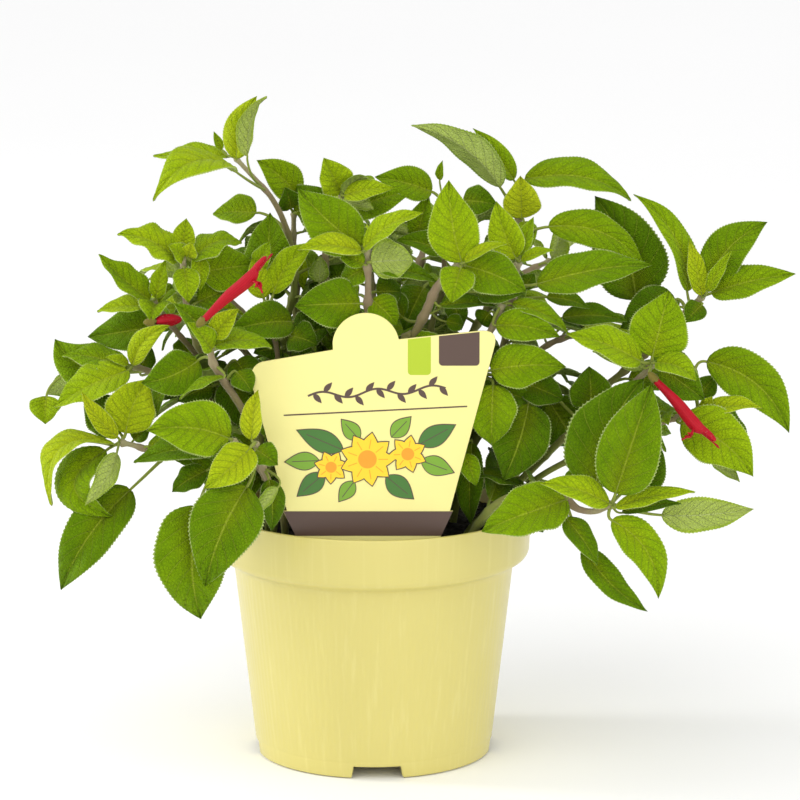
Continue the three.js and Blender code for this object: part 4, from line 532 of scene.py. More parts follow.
# Scale of each noise, so about how many of its spots there are to a metre
NOISE = {"leaf": 120.0, "leaf_grit": 1500.0, "leaf_net": 820.0, "stem": 220.0, "stem_grit": 1500.0,
         "fuzz": 300.0, "petal": 260.0, "petal_grit": 1100.0, "pot": 22.0, "pot_streak": 420.0,
         "pot_grit": 2600.0, "soil": 180.0, "soil_grit": 700.0, "card": 60.0, "card_grit": 1800.0,
         "floor": 3.0}
# A bump's strength and height in metres, a surface's least roughness and what its noise adds, and its finish
FINISH = {
    "leaf": {"bump": (1.0, 0.0006), "rough": (0.42, 0.2), "surface": {
        "Sheen Weight": 0.05, "Sheen Tint": (0.8, 1.0, 0.4, 1), "Sheen Roughness": 0.5,
        "Specular IOR Level": 0.12, "Specular Tint": (0.85, 1.0, 0.3, 1)}},
    "stem": {"bump": (0.4, 0.0003), "rough": (0.5, 0.25), "surface": {
        "Sheen Weight": 0.1, "Specular IOR Level": 0.2}},
    "petal": {"bump": (0.5, 0.0003), "rough": (0.38, 0.25), "surface": {
        "Sheen Weight": 0.02, "Sheen Tint": (1.0, 0.25, 0.35, 1), "Specular IOR Level": 0.2}},
    "pot": {"bump": (0.12, 0.0001), "rough": (0.36, 0.12), "surface": {
        "Coat Weight": 0.45, "Coat Roughness": 0.2, "Subsurface Weight": 0.12,
        "Subsurface Radius": (1.0, 0.9, 0.4), "Subsurface Scale": 0.003}},
    "soil": {"bump": (0.9, 0.0012), "rough": (0.8, 0.2), "surface": {}},
    "card": {"bump": (0.08, 0.0001), "rough": (0.38, 0.1), "surface": {}},
}
# How far a leaf's tone changes with its cloud, with its grit and from one leaf to the next
LEAF_CHANGE = (0.3, 0.26, 0.16)
# How strongly each colour shows where it lies. The shares for the grooves beside the veins and for the fine
# net are painted shade.
LEAF_SHARE = {"heart": 0.28, "vein_groove_shade": 0.1, "net": 0.08, "lateral": 0.3, "rib": 0.5, "rim": 0.62,
              "under": 0.7, "under_vein": 0.8}
PETAL_LINES = {"count": 18.0, "share": 0.35}
CARD_CHANGE = 0.06
STEM_TONES = [(0.0, (0.34, 0.31, 0.16)), (0.25, (0.27, 0.2, 0.12)), (0.5, (0.22, 0.18, 0.08)),
              (1.0, (0.19, 0.22, 0.04))]
CALYX_TONE = (0.17, 0.14, 0.02, 1)
STALK_TONES = [(0.19, 0.26, 0.02, 1), (0.27, 0.3, 0.06, 1)]
STEM_HAIRS = {"count": 260, "length": 0.75, "thick": 0.04, "seed": 7001}
PETAL_HAIR_THICK = 0.045
PETAL_TONES = [(0.5, 0.002, 0.015, 1), (0.34, 0.0015, 0.01, 1), (0.14, 0.001, 0.005, 1)]
POT_TONES = [(0.585, 0.51, 0.145, 1), (0.615, 0.54, 0.16, 1)]
POT_STREAK = (0.69, 0.62, 0.23, 1)
SOIL_TONES = [(0.25, (0.006, 0.004, 0.003)), (0.55, (0.022, 0.015, 0.01)), (0.8, (0.07, 0.048, 0.03))]
CARD_YELLOW = (0.86, 0.79, 0.29, 1)
CARD_BROWN = (0.088, 0.05, 0.036, 1)
CARD_LEAF = (0.18, 0.36, 0.02, 1)
CARD_LEAF_DARK = (0.05, 0.17, 0.02, 1)
CARD_LIME = (0.42, 0.55, 0.012, 1)
CARD_ORANGE = (0.85, 0.33, 0.01, 1)
CARD_SUN = (0.95, 0.62, 0.02, 1)

# What is printed on the card: the band at its foot, the line of its upper right edge as a point and a slope,
# leaves as foot, tip and width, and blossoms as centre, reach, count of petals and turn
CARD_BAND = [(-33.35, 104.6), (29.7, 104.6), (25.5, 95.2), (-28.8, 95.2)]
CARD_EDGE = (39.6, 172.75, 0.105)
# Each tab is (left, right, foot), and the rule is (start, end, width)
CARD_TABS = {"brown": (24.5, 39.5, 160.0), "lime": (13.0, 21.5, 156.5)}
CARD_RULE = ((-33, 141.2), (35, 144.6), 0.5)
# The printed twig's line is (start, end, height of its waves, their count, width)
TWIG = {"line": ((-24, 148.5), (27, 151.5), 1.3, 2.5, 0.75), "leaves": 13, "first": -22, "step": 3.9}
# How far each ink stands before the card's face, and how much further each next outline of one ink
PRINT_DEPTH = {"flat": 0.1, "lines": 0.12, "leaves": 0.15, "ribs": 0.18, "rings": 0.2, "petals": 0.23,
               "strokes": 0.26, "cores": 0.29}
INK_STEP = 0.0015
PRINTED_LEAVES = {
    "dark": [((-11, 128), (-28, 135.5), 8.0), ((-18, 119), (-28, 110.5), 7.0), ((5, 118), (15, 109.5), 7.5),
             ((17, 130), (30.5, 137.5), 7.5)],
    "light": [((-5, 132), (-11.5, 139.5), 6.0), ((-20, 124), (-32.5, 123.5), 6.5),
              ((-7, 116), (-12.5, 108.5), 5.5), ((18, 124), (30, 119.5), 7.0), ((7, 133), (14, 140.5), 6.0)],
}
PRINTED_BLOSSOMS = [((-15.5, 121.5), 6.2, 7, 0.2), ((13.0, 126.5), 7.0, 7, 0.5),
                    ((-2.0, 124.5), 10.2, 9, 0.0)]

# Soft daylight from the upper left, and the light of the room
PAPER = {"half": 40.0, "level": -0.0004, "tones": ((0.975, 0.975, 0.975, 1), (0.99, 0.99, 0.99, 1))}
LIGHT = {"room": 0.76, "sun": 1.05, "sun_size": 60, "sun_from": (-0.5, -0.9, 1.0), "aim": (0, 0, 0.1),
         "panels": [("strip", (-1.2, 0.12, 0.45), (0.2, 0.9), 7.0),
                    ("front", (0.55, -1.5, 0.5), (1.2, 0.8), 4.5),
                    ("side", (1.3, -0.5, 0.35), (0.9, 0.8), 4.0)]}


def unit(v):
    return v / np.maximum(np.linalg.norm(v, axis=-1, keepdims=True), 1e-9)


def seen(point):
    """The real place of an (across, up, back) point"""
    across, up, back = point
    plane = np.array([across, 0.0, up])
    return EYE + (plane - EYE) * (back - EYE[1]) / -EYE[1]


def cast(points):
    """Where lines of sight through real places meet the upright plane: across and up"""
    share = -EYE[1] / (points[..., 1] - EYE[1])
    flat = EYE + (points - EYE) * share[..., None]
    return flat[..., 0], flat[..., 2]


def curve(points, u):
    """Places on a stem's smooth way, counted in its points"""
    points = np.asarray(points)
    u = np.atleast_1d(u).astype(float)
    last = len(points) - 1
    i = np.clip(np.floor(u).astype(int), 0, last - 1)
    f = np.clip(u - i, 0, 1)[:, None]
    p, q, r, s = points[np.maximum(i - 1, 0)], points[i], points[i + 1], points[np.minimum(i + 2, last)]
    bend = (2 * p - 5 * q + 4 * r - s) * f**2 + (3 * q - p - 3 * r + s) * f**3
    return 0.5 * (2 * q + (r - p) * f + bend)


def quadratic(a, b, c, t):
    t = np.asarray(t, float)[..., None]
    return a * (1 - t) ** 2 + b * 2 * t * (1 - t) + c * t**2


def blade_width(t):
    """How wide an ovate, pointed blade is along its midrib, 1 at its widest"""
    return t**0.62 * (1 - t) ** 1.1 / 0.3265


def place_leaf(leaf, bend=(0, 0, 0)):
    """Where a leaf's midrib runs and which way its upper face looks"""
    sight = unit((leaf["foot"] + leaf["tip"]) / 2 - EYE)
    foot = leaf["foot"] + sight * bend[0]
    tip = leaf["tip"] + sight * bend[1]
    length = np.linalg.norm(tip - foot)
    chord = (tip - foot) / length
    facing = leaf["face"] if leaf["face"] is not None else -sight
    facing = unit(facing - chord * facing.dot(chord))
    rising = np.cross(chord, facing)
    if rising[2] < 0:
        rising = -rising
    roll = math.radians(leaf["roll"] + bend[2])
    normal = facing * math.cos(roll) + rising * math.sin(roll)
    left = np.cross(normal, chord)
    bow = (foot + tip) / 2 + normal * 2 * leaf["arch"] * length + left * 2 * leaf["sweep"] * length
    return {"foot": foot, "bow": bow, "tip": tip, "normal": normal, "length": length}


def midrib(place, t):
    """The midrib's points, and the directions along it, to its left and out of its upper face"""
    t = np.asarray(t, float)
    point = quadratic(place["foot"], place["bow"], place["tip"], t)
    start = place["bow"] - place["foot"]
    end = place["tip"] - place["bow"]
    along = unit(start * (1 - t[..., None]) + end * t[..., None])
    left = unit(np.cross(place["normal"], along))
    return point, along, left, np.cross(along, left)


def corner_steps(leaf, place):
    """Steps along the midrib and along the edge of a leaf's plain solid"""
    size = leaf["width"] * place["length"]
    if size > LARGE_LEAF:
        return 3, 8
    return (2, 6) if size > MIDDLING_LEAF["solid"] else (2, 4)


def corners(leaf, place):
    """The corners that a leaf's plain solid has"""
    rib_steps, edge_steps = corner_steps(leaf, place)
    t = np.arange(1, rib_steps) / rib_steps
    point, _, _, normal = midrib(place, t)
    found = [point + normal * MIDRIB_RISE]
    j = np.arange(1, edge_steps)
    t = j / edge_steps
    point, _, left, normal = midrib(place, t)
    out = 0.5 * leaf["width"] * blade_width(t) * np.where(j % 2 == 1, 1.0, BLADE_NOTCH)
    for side in (-1, 1):
        found.append(point + left * (side * out)[:, None] + normal * (out * BLADE_FOLD)[:, None])
    found.append(place["tip"][None])
    return np.concatenate(found)


def node_tree(name):
    """The corners of a node's solid, to find places among"""
    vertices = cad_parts[name].data.vertices
    tree = kdtree.KDTree(len(vertices))
    for k, vertex in enumerate(vertices):
        tree.insert((np.array(vertex.co) - AXIS) / MM, k)
    tree.balance()
    return tree


def share_found(tree, points, reach=0.03):
    """Which share of the points are corners of the node"""
    return np.mean([tree.find(Vector(p))[2] < reach for p in points])


def between(draw, span):
    return span[0] + (span[1] - span[0]) * draw()


def park_miller(seed):
    """The same random numbers on every run, from 0 to 1"""
    state = seed

    def draw():
        nonlocal state
        state = state * 16807 % 2147483647
        return state / 2147483647

    return draw


def stem_points(root, way):
    foot = np.array([root[0], root[1], SOIL_TOP - STEM_HOLE_DEPTH + GAP])
    return np.array([foot, [root[0], root[1], SOIL_TOP + 1], *way])


def front_stem(name, root, radius, way, rows):
    points = stem_points(root, [seen(p) for p in way])
    last = len(points) - 1
    leaves = []
    for at, foot, tip, width, roll, arch, sweep, tone in rows:
        leaves.append([{
            "at": min(at + WAY_START, last), "foot": seen(foot), "tip": seen(tip),
            "width": width * BLADE_WIDEN, "solid": width >= BLADE_LEAST, "roll": roll, "arch": arch,
            "sweep": sweep, "face": None, "tone": tone / OLDEST, "front": True,
        }])
    return {"name": name, "points": points, "radius": radius, "leaves": leaves}


def back_stem(spec, index, shift):
    """A stem behind, whose leaves are each drawn several times over"""
    rule = BACK_RULE
    degrees, reach, height = spec
    draw = park_miller(rule["seed"] + index)
    angle = math.radians(degrees + shift)
    out = np.array([math.cos(angle), math.sin(angle), 0.0])
    side = np.array([-out[1], out[0], 0.0])
    root_radius = between(draw, rule["root_radius"])
    swing = between(draw, rule["swing"])
    way = []
    for f in rule["way_parts"]:
        distance = root_radius + (reach - root_radius) * f ** rule["out_power"]
        quarter = 0.5 * math.pi * (rule["rise_start"] + (1 - rule["rise_start"]) * f)
        rise = SOIL_TOP + (height - SOIL_TOP) * math.sin(quarter)
        way.append(out * distance + side * swing * f * (1 - f) + UP * rise)
    root = out * root_radius
    points = stem_points(root[:2], way)
    last = len(points) - 1
    face = UP * rule["face"][0] + out * rule["face"][1]
    leaves = []

    def draw_leaf(at, turn, length, kind):
        heading = turn + between(draw, rule["heading"])
        direction = out * math.cos(heading) + side * math.sin(heading)
        rise = between(draw, kind["rise"])
        size = length * between(draw, rule["size"])
        foot = curve(points, at)[0] + direction * kind["stalk"] + UP * rule["stalk_rise"] * kind["stalk"]
        tip = foot + direction * size * math.cos(rise) + UP * size * math.sin(rise)
        roll = between(draw, rule["roll"])
        arch = between(draw, rule["arch"])
        width = size * between(draw, rule["width"])
        return {"at": at, "foot": foot, "tip": tip, "width": width, "solid": True, "roll": roll,
                "arch": arch, "sweep": 0, "face": face, "tone": 0.72 - 0.4 * at / last}

    def grow(*where):
        leaves.append([draw_leaf(*where) for _ in range(rule["tries"])])

    for n, f in enumerate(rule["nodes"]):
        length = rule["leaf"]["length"] * (rule["leaf"]["first"] - rule["leaf"]["loss"] * n)
        for sign in (-1, 1):
            grow(1 + f * (last - 1), sign * rule["pair_turns"][n % 2], length, rule["leaf"])
    tuft = rule["tuft"]
    for n in range(tuft["count"]):
        grow(last, n * 2 * math.pi / tuft["count"], tuft["length"], tuft)
    name = f"stem_back_{index + 1}"
    return {"name": name, "points": points, "radius": rule["stem"], "leaves": leaves, "behind": True}


def settled(stem):
    """The stem with its leaves placed as in its node, and the least leaves placed as the table has them"""
    tree = node_tree(stem["name"])
    grown = []
    for tries in stem["leaves"]:
        best, best_share = None, LEAST_SHARE
        for leaf in tries:
            for bend in BENDS[:1] if stem.get("behind") else BENDS:
                place = place_leaf(leaf, bend)
                if not leaf["solid"]:
                    best = (leaf, place)
                    break
                share = share_found(tree, corners(leaf, place))
                if share > best_share:
                    best, best_share = (leaf, place), share
        if best:
            grown.append(best)
    stem["leaves"] = grown
    return stem


def settled_back_stem(spec, index):
    """The stem behind with the shift at which its root stands in its node"""
    name = f"stem_back_{index + 1}"
    low_points = [np.array(v.co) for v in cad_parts[name].data.vertices]
    low_points = [(p - AXIS) / MM for p in low_points]
    feet = np.array([p for p in low_points if p[2] < SOIL_TOP - STEM_HOLE_DEPTH + 1])
    middle = feet.mean(0)[:2]
    choices = [back_stem(spec, index, shift) for shift in BACK_RULE["shifts"]]
    return settled(min(choices, key=lambda stem: np.linalg.norm(stem["points"][0][:2] - middle)))


class Form:
    """Vertices in millimetres, faces with their material, and what the materials read at each vertex"""

    def __init__(self):
        self.points, self.place, self.look = [], [], []
        self.faces, self.slots = [], []
        self.count = 0

    def add(self, points, faces, slot=0, place=None, look=None):
        points = np.asarray(points, float)
        blank = np.zeros((len(points), 3))
        self.points.append(points)
        self.place.append(blank if place is None else np.broadcast_to(place, points.shape))
        self.look.append(blank if look is None else np.broadcast_to(look, points.shape))
        for face in faces:
            self.faces.append([self.count + k for k in face])
        self.slots += [slot] * len(faces)
        self.count += len(points)

    def points_in_frame(self):
        return np.concatenate(self.points) * MM + AXIS


def make_object(name, form, materials):
    """A mesh object from a form, kept inside the solid model's box"""
    points = np.clip(form.points_in_frame(), BOX_LOW, BOX_HIGH)
    mesh = bpy.data.meshes.new(name)
    mesh.from_pydata(points.tolist(), [], form.faces)
    for title, values in (("leaf_place", form.place), ("leaf_look", form.look)):
        attribute = mesh.attributes.new(title, "FLOAT_VECTOR", "POINT")
        attribute.data.foreach_set("vector", np.concatenate(values).astype(np.float32).ravel())
    for material in materials:
        mesh.materials.append(material)
    mesh.polygons.foreach_set("material_index", form.slots)
    mesh.polygons.foreach_set("use_smooth", [True] * len(form.faces))
    mesh.update()
    ends = np.empty(2 * len(mesh.edges), int)
    mesh.edges.foreach_get("vertices", ends)
    on_rim = np.abs(np.concatenate(form.place)[:, 0])[ends].reshape(-1, 2).min(1) > 0.99
    mesh.attributes.new("sharp_edge", "BOOLEAN", "EDGE").data.foreach_set("value", on_rim)
    piece = bpy.data.objects.new(name, mesh)
    bpy.context.scene.collection.objects.link(piece)
    return piece


def settle(piece, slot, *nodes):
    """Hangs a finished piece on the body and hides the nodes that it stands for; the finish that it is given
    is not used
    """
    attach(piece, "root")
    if nodes:
        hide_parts(*nodes)
    return piece


def tube(path, up, wide, high, sides, squareness=2.0):
    """A closed tube round a path: its points and faces, with each ring's first point on its left"""
    path = np.asarray(path, float)
    along = unit(np.gradient(path, axis=0))
    left = unit(np.cross(up, along))
    over = np.cross(along, left)
    angle = 2 * np.pi * (np.arange(sides) + 0.5) / sides
    c, s = np.cos(angle), np.sin(angle)
    scale = (np.abs(c) ** squareness + np.abs(s) ** squareness) ** (-1 / squareness)
    wide = np.broadcast_to(wide, len(path))[:, None, None]
    high = np.broadcast_to(high, len(path))[:, None, None]
    sideways = left[:, None] * wide * (c * scale)[:, None]
    ring = path[:, None] + sideways + over[:, None] * high * (s * scale)[:, None]
    rows = len(path)
    faces = []
    for i in range(rows - 1):
        for k in range(sides):
            a, b = i * sides + k, i * sides + (k + 1) % sides
            faces.append([a, b, b + sides, a + sides])
    faces.append(list(range(sides))[::-1])
    faces.append([(rows - 1) * sides + k for k in range(sides)])
    turn = np.tile(angle / (2 * np.pi), rows)
    return ring.reshape(-1, 3), faces, turn


blade_faces_made = {}


def blade_faces(rows, columns):
    """The faces of a closed blade: a grid above, a coarser one below that shares its edges, and two ends"""
    if (rows, columns) in blade_faces_made:
        return blade_faces_made[rows, columns]
    top = np.arange(rows * columns).reshape(rows, columns)
    under = top[:, ::2].copy()
    inner = under.shape[1] - 2
    under[:, 1:-1] = rows * columns + np.arange(rows * inner).reshape(rows, inner)
    foot = rows * (columns + inner)
    faces = []
    for grid, turn in ((top, 1), (under, -1)):
        quads = np.stack([grid[:-1, :-1], grid[1:, :-1], grid[1:, 1:], grid[:-1, 1:]], -1)
        faces += quads.reshape(-1, 4)[:, ::turn].tolist()
        for k in range(grid.shape[1] - 1):
            faces.append([foot, int(grid[0, k]), int(grid[0, k + 1])][::turn])
            faces.append([int(grid[-1, k]), foot + 1, int(grid[-1, k + 1])][::turn])
    blade_faces_made[rows, columns] = faces
    return faces


def fineness(leaf, place):
    """A blade's steps along and its places across one half, by its size and by whether it shows in front"""
    size = leaf["width"] * place["length"]
    level = 0 if size > LARGE_LEAF else 1 if size > MIDDLING_LEAF["fine"] else 2
    return FINENESS["front" if leaf.get("front") else "behind"][level]


def kept_in_box(points, share):
    """The points, with the outer end of a blade drawn back where it would leave the solid model's box"""
    low, high = (BOX_LOW - AXIS) / MM, (BOX_HIGH - AXIS) / MM
    for _ in range(2):
        over = np.maximum((points - high).max(0), 0) - np.maximum((low - points).max(0), 0)
        points = points - over * 1.02 * np.clip(share, 0, 1)[:, None] ** 1.5
    return points


def add_blade(form, leaf, place, seed):
    """A leaf's blade: toothed, folded along its midrib, swelling between its veins and waved at its edge"""
    steps, half = fineness(leaf, place)
    half = np.array(half)
    width, length = leaf["width"], place["length"]
    draw = park_miller(int(seed * 1e6) + 7)
    across = np.concatenate([-half[:0:-1], half])
    columns = len(across)
    k = np.arange(1, steps)
    rows = len(k)
    tooth = k % 2 == 1
    t = k / steps
    t_grid = np.repeat(t[:, None], columns, 1)
    edge = np.abs(across)[None] > 0.99
    t_grid = t_grid + np.where(edge & tooth[:, None], TOOTH["lean"] / steps, 0)
    t_grid = np.minimum(t_grid, 1 - 0.2 / steps)
    s = across[None] * np.ones((rows, 1))
    size = abs(s)
    reach = 0.5 * width * blade_width(t_grid)
    reach = reach * np.where(edge & ~tooth[:, None], 1 - TOOTH["depth"], 1)
    uneven = np.sin(2 * np.pi * (between(draw, WAVE["count"]) * t_grid + draw()) + np.where(s > 0, 2.1, 0))
    reach = reach * (1 + WAVE["uneven"] * uneven)
    point, along, left, normal = midrib(place, t_grid)
    phase = (t_grid - VEINS["rake"] * size) * VEINS["pairs"] + seed
    swell = np.abs(np.sin(np.pi * phase)) ** 0.6 * np.sin(np.pi * np.clip(size, 0, 1)) ** 0.7
    count, phase_left, phase_right = between(draw, WAVE["count"]), draw(), draw()
    wave = np.sin(2 * np.pi * (count * t_grid + np.where(s > 0, phase_right, phase_left)))
    wave = wave * between(draw, WAVE["height"]) * size**2 * np.sin(np.pi * t_grid) ** 0.5
    fold = BLADE_FOLD * between(draw, FOLD_RANGE) * (1.75 * size - 0.8 * size**2)
    cup = between(draw, CURL["edge"]) * size**2
    towards_tip = np.clip((t_grid - CURL["start"]) / (1 - CURL["start"]), 0, 1)
    curl = between(draw, CURL["tip"]) * length * towards_tip**2
    lowest = reach * (fold - cup) + width * wave - curl
    groove = MIDRIB["groove"] * np.exp(-((size / MIDRIB["groove_width"]) ** 2))
    lowest = lowest - groove * min(1.0, width / 10)
    flat = point + left * (s * reach)[..., None]
    surface = flat + normal * (lowest + width * VEINS["swell"] * swell)[..., None]
    thick = BLADE_THICK["edge"] + (BLADE_THICK["middle"] - BLADE_THICK["edge"]) * (1 - size) ** 0.8
    rib = MIDRIB["deep"] * np.exp(-((size / MIDRIB["deep_width"]) ** 2))
    rib = rib * (1 - 0.75 * t_grid) * min(1.0, width / 12)
    below = (flat + normal * (lowest - thick - rib)[..., None])[:, ::2][:, 1:-1]
    tip = place["tip"] - normal[-1, columns // 2] * curl[-1, 0]
    points = np.concatenate([surface.reshape(-1, 3), below.reshape(-1, 3), place["foot"][None], tip[None]])
    grid_place = np.stack([s, t_grid, np.zeros_like(s)], -1)
    under_place = grid_place[:, ::2][:, 1:-1].copy()
    under_place[..., 2] = 1
    ends = np.array([[0, 0, 0.5], [0, 1, 0.5]])
    where = np.concatenate([grid_place.reshape(-1, 3), under_place.reshape(-1, 3), ends])
    points = kept_in_box(points, where[:, 1])
    form.add(points, blade_faces(rows, columns), BLADE_SLOT, where, (leaf["tone"], seed, 0))
    if leaf.get("front"):
        grid = points[: rows * columns].reshape(rows, columns, 3)
        hairs = []
        for side, column in ((-1, 0), (1, -1)):
            for row in range(0, rows - 1, 2):
                out = unit(side * left[row, column] + (0.2 + 0.6 * draw()) * along[row, column]
                           + (draw() - 0.5) * 0.8 * normal[row, column])
                hairs.append((grid[row, column], out))
        length = RIM_HAIR["length"] * between(draw, RIM_HAIR["uneven"])
        add_hairs(form, hairs, HAIR_SLOT, length, RIM_HAIR["thick"])


def add_petiole(form, leaf, place, start):
    """A leaf's stalk, from inside its stem to under its blade's midrib"""
    point, along, _, normal = midrib(place, np.array([0.0, 0.06, 0.12]))
    reach = np.linalg.norm(place["foot"] - start)
    if reach < 1.0:
        return
    lead = place["foot"] - along[0] * 0.4 * reach
    steps = max(3, int(reach / 1.2))
    path = quadratic(start, lead, place["foot"], np.arange(steps) / steps)
    path = np.concatenate([path, point - normal * 0.25])
    up = place["normal"] + 0.05 * np.array([0.3, 0.2, 0.1])
    share = np.linspace(0, 1, len(path))
    size = min(1.0, 0.45 + leaf["width"] / 28)
    wide = PETIOLE["wide"] * size * (1.25 - 0.45 * share)
    wide[-2:] *= (0.75, 0.4)
    points, faces, turn = tube(path, up, wide, wide * PETIOLE["flat"], PETIOLE["sides"])
    where = np.stack([np.repeat(share, PETIOLE["sides"]), turn, np.ones(len(turn))], -1)
    form.add(points, faces, STEM_SLOT, where)


def add_stem(form, stem):
    """A square stem, a little swollen where leaves leave it"""
    points = stem["points"]
    last = len(points) - 1
    spans = np.linalg.norm(np.diff(points, axis=0), axis=1)
    counts = [max(2, round(span / STEM["step"])) for span in spans]
    u = np.concatenate([i + np.arange(count) / count for i, count in enumerate(counts)] + [[last]])
    path = curve(points, u)
    lean = points[last] - points[0]
    across = unit(np.array([-lean[1], lean[0], 0.001]))
    radius = stem["radius"][0] + (stem["radius"][1] - stem["radius"][0]) * u / last
    travelled = np.concatenate([[0], np.cumsum(np.linalg.norm(np.diff(path, axis=0), axis=1))])
    for leaf, _ in stem["leaves"]:
        at = np.interp(leaf["at"], u, travelled)
        radius = radius * (1 + STEM["swell"] * np.exp(-(((travelled - at) / STEM["node"]) ** 2)))
    radius = np.minimum(radius, stem["radius"][0] + STEM["most"])
    radius[-1] *= STEM["end"]
    tube_points, faces, turn = tube(path, across, radius, radius, STEM["sides"], STEM["squareness"])
    share = np.repeat(u / last, STEM["sides"])
    where = np.stack([share, turn, np.zeros(len(turn))], -1)
    age = np.clip((travelled[-1] - travelled) / STEM["young"], 0, 1)
    look = np.repeat(age, STEM["sides"])[:, None] * np.array([1, 0, 0])
    form.add(tube_points, faces, STEM_SLOT, where, look)


def add_leaf(form, stem, leaf, place, seed):
    add_petiole(form, leaf, place, curve(stem["points"], leaf["at"])[0])
    add_blade(form, leaf, place, seed)


def samples(leaf, place, along=9, across=5):
    """Points spread over a leaf's blade"""
    t = np.repeat(np.linspace(0.08, 0.96, along)[:, None], across, 1)
    s = np.linspace(-0.9, 0.9, across)[None]
    point, _, left, normal = midrib(place, t)
    reach = 0.5 * leaf["width"] * blade_width(t)
    points = point + left * (s * reach)[..., None] + normal * (reach * BLADE_FOLD * abs(s))[..., None]
    return points.reshape(-1, 3)


class Crown:
    """Which room the leaves have taken, and how near the eye they are along each line of sight"""

    def __init__(self):
        self.cells = set()
        self.front = {}

    @staticmethod
    def room(points):
        return {tuple(c) for c in np.floor(points / FILL["room"]).astype(int)}

    def take(self, leaf, place, is_front=False):
        """Counts the room that a leaf takes"""
        dense = samples(leaf, place, 24, 11)
        self.cells |= self.room(dense)
        if not is_front:
            return
        across, up = cast(dense)
        for a, b, y in zip(across // FILL["cell"], up // FILL["cell"], dense[:, 1]):
            self.front[a, b] = min(y, self.front.get((a, b), 1e9))

    def allows(self, leaf, place):
        """Whether a further leaf has room, and hides behind those in front or stays inside the crown"""
        points = samples(leaf, place)
        if np.any(points < ROOM_LOW) or np.any(points > ROOM_HIGH):
            return False
        radius = np.hypot(points[:, 0], points[:, 1])
        low = points[:, 2] < POT_HEIGHT + RIM_ROOM["above"]
        if np.any(low & (radius < RIM_RADIUS + RIM_ROOM["beside"])):
            return False
        before = points[:, 1] < LABEL_FRONT + LABEL_ROOM["behind"]
        beside = abs(points[:, 0]) < LABEL_ROOM["beside"]
        if np.any(before & beside & (points[:, 2] < LABEL_ROOM["top"])):
            return False
        cells = [tuple(c) for c in np.floor(points[10:] / FILL["room"]).astype(int)]
        if np.mean([c in self.cells for c in cells]) > FILL["shared"]:
            return False
        across, up = cast(points)
        for a, b, y in zip(across, up, points[:, 1]):
            cover = self.front.get((a // FILL["cell"], b // FILL["cell"]))
            if cover is None:
                if not inside_crown(a, b):
                    return False
            elif y < cover + FILL["behind"]:
                return False
        return True


def inside_crown(across, up):
    """Whether a seen place lies inside the crown's outline and in none of its gaps"""
    inside = False
    for (x0, z0), (x1, z1) in zip(CROWN, CROWN[-1:] + CROWN[:-1]):
        if (z0 > up) != (z1 > up) and across < (x1 - x0) * (up - z0) / (z1 - z0) + x0:
            inside = not inside
    return inside and not any(a < across < b and c < up < d for a, b, c, d in CLEARINGS)


def fill_stem(crown, stem, index):
    """Further pairs of leaves on a stem, which hide behind those that show from the front"""
    draw = park_miller(FILL["seed"] + 97 * index)
    points = stem["points"]
    last = len(points) - 1
    u = np.linspace(1, last, 400)
    path = curve(points, u)
    travelled = np.concatenate([[0], np.cumsum(np.linalg.norm(np.diff(path, axis=0), axis=1))])
    whole = travelled[-1]
    turn = between(draw, (0, math.pi))
    n = 0
    at_length = whole - FILL["first"]
    while at_length > FILL["lowest"] * whole:
        at = float(np.interp(at_length, travelled, u))
        start = curve(points, at)[0]
        age = (whole - at_length) / whole
        out = unit(np.array([start[0], start[1], 0.0]) + 1e-3)
        for sign in (0, 1):
            for _ in range(FILL["tries"]):
                heading = turn + n * math.pi / 2 + sign * math.pi + between(draw, FILL["heading"])
                direction = np.array([math.cos(heading), math.sin(heading), 0.0])
                rise = between(draw, FILL["rise"])
                size = FILL["young"] + (FILL["old"] - FILL["young"]) * min(1.0, age * 2)
                size = size * between(draw, FILL["size"])
                stalk = size * between(draw, FILL["stalk"])
                foot = start + direction * stalk + UP * 0.35 * stalk
                tip = foot + direction * size * math.cos(rise) + UP * size * math.sin(rise)
                face = UP * 0.85 + out * 0.35
                leaf = {"at": at, "foot": foot, "tip": tip, "width": size * between(draw, FILL["width"]),
                        "roll": between(draw, FILL["roll"]), "arch": between(draw, FILL["arch"]),
                        "sweep": between(draw, FILL["sweep"]), "face": face,
                        "tone": min(0.95, 0.45 + 0.45 * age + between(draw, FILL["tone"]))}
                place = place_leaf(leaf)
                if crown.allows(leaf, place):
                    stem["leaves"].append((leaf, place))
                    crown.take(leaf, place)
                    break
        at_length -= between(draw, FILL["spacing"])
        n += 1


def grown_stems():
    stems = [settled(front_stem(*spec)) for spec in STEMS]
    stems += [settled_back_stem(spec, index) for index, spec in enumerate(BACK_STEMS)]
    crown = Crown()
    for stem in stems:
        for leaf, place in stem["leaves"]:
            crown.take(leaf, place, is_front=not stem.get("behind"))
    for index, stem in enumerate(stems):
        fill_stem(crown, stem, index)
    return stems


def bezier_corner(before, corner, after, radius, steps=3):
    """A rounded corner of a profile"""
    corner = np.array(corner, float)
    a = corner + unit(np.array(before) - corner) * radius
    b = corner + unit(np.array(after) - corner) * radius
    return quadratic(a, corner, b, np.linspace(0, 1, steps + 1)).tolist()


def rounded_profile(corners_and_radii):
    """A profile whose corners are rounded: each entry is (r, z, radius)"""
    made = []
    for k, (r, z, radius) in enumerate(corners_and_radii):
        before = corners_and_radii[max(k - 1, 0)][:2]
        after = corners_and_radii[min(k + 1, len(corners_and_radii) - 1)][:2]
        if radius:
            made += bezier_corner(before, (r, z), after, radius)
        else:
            made.append([r, z])
    return np.array(made)


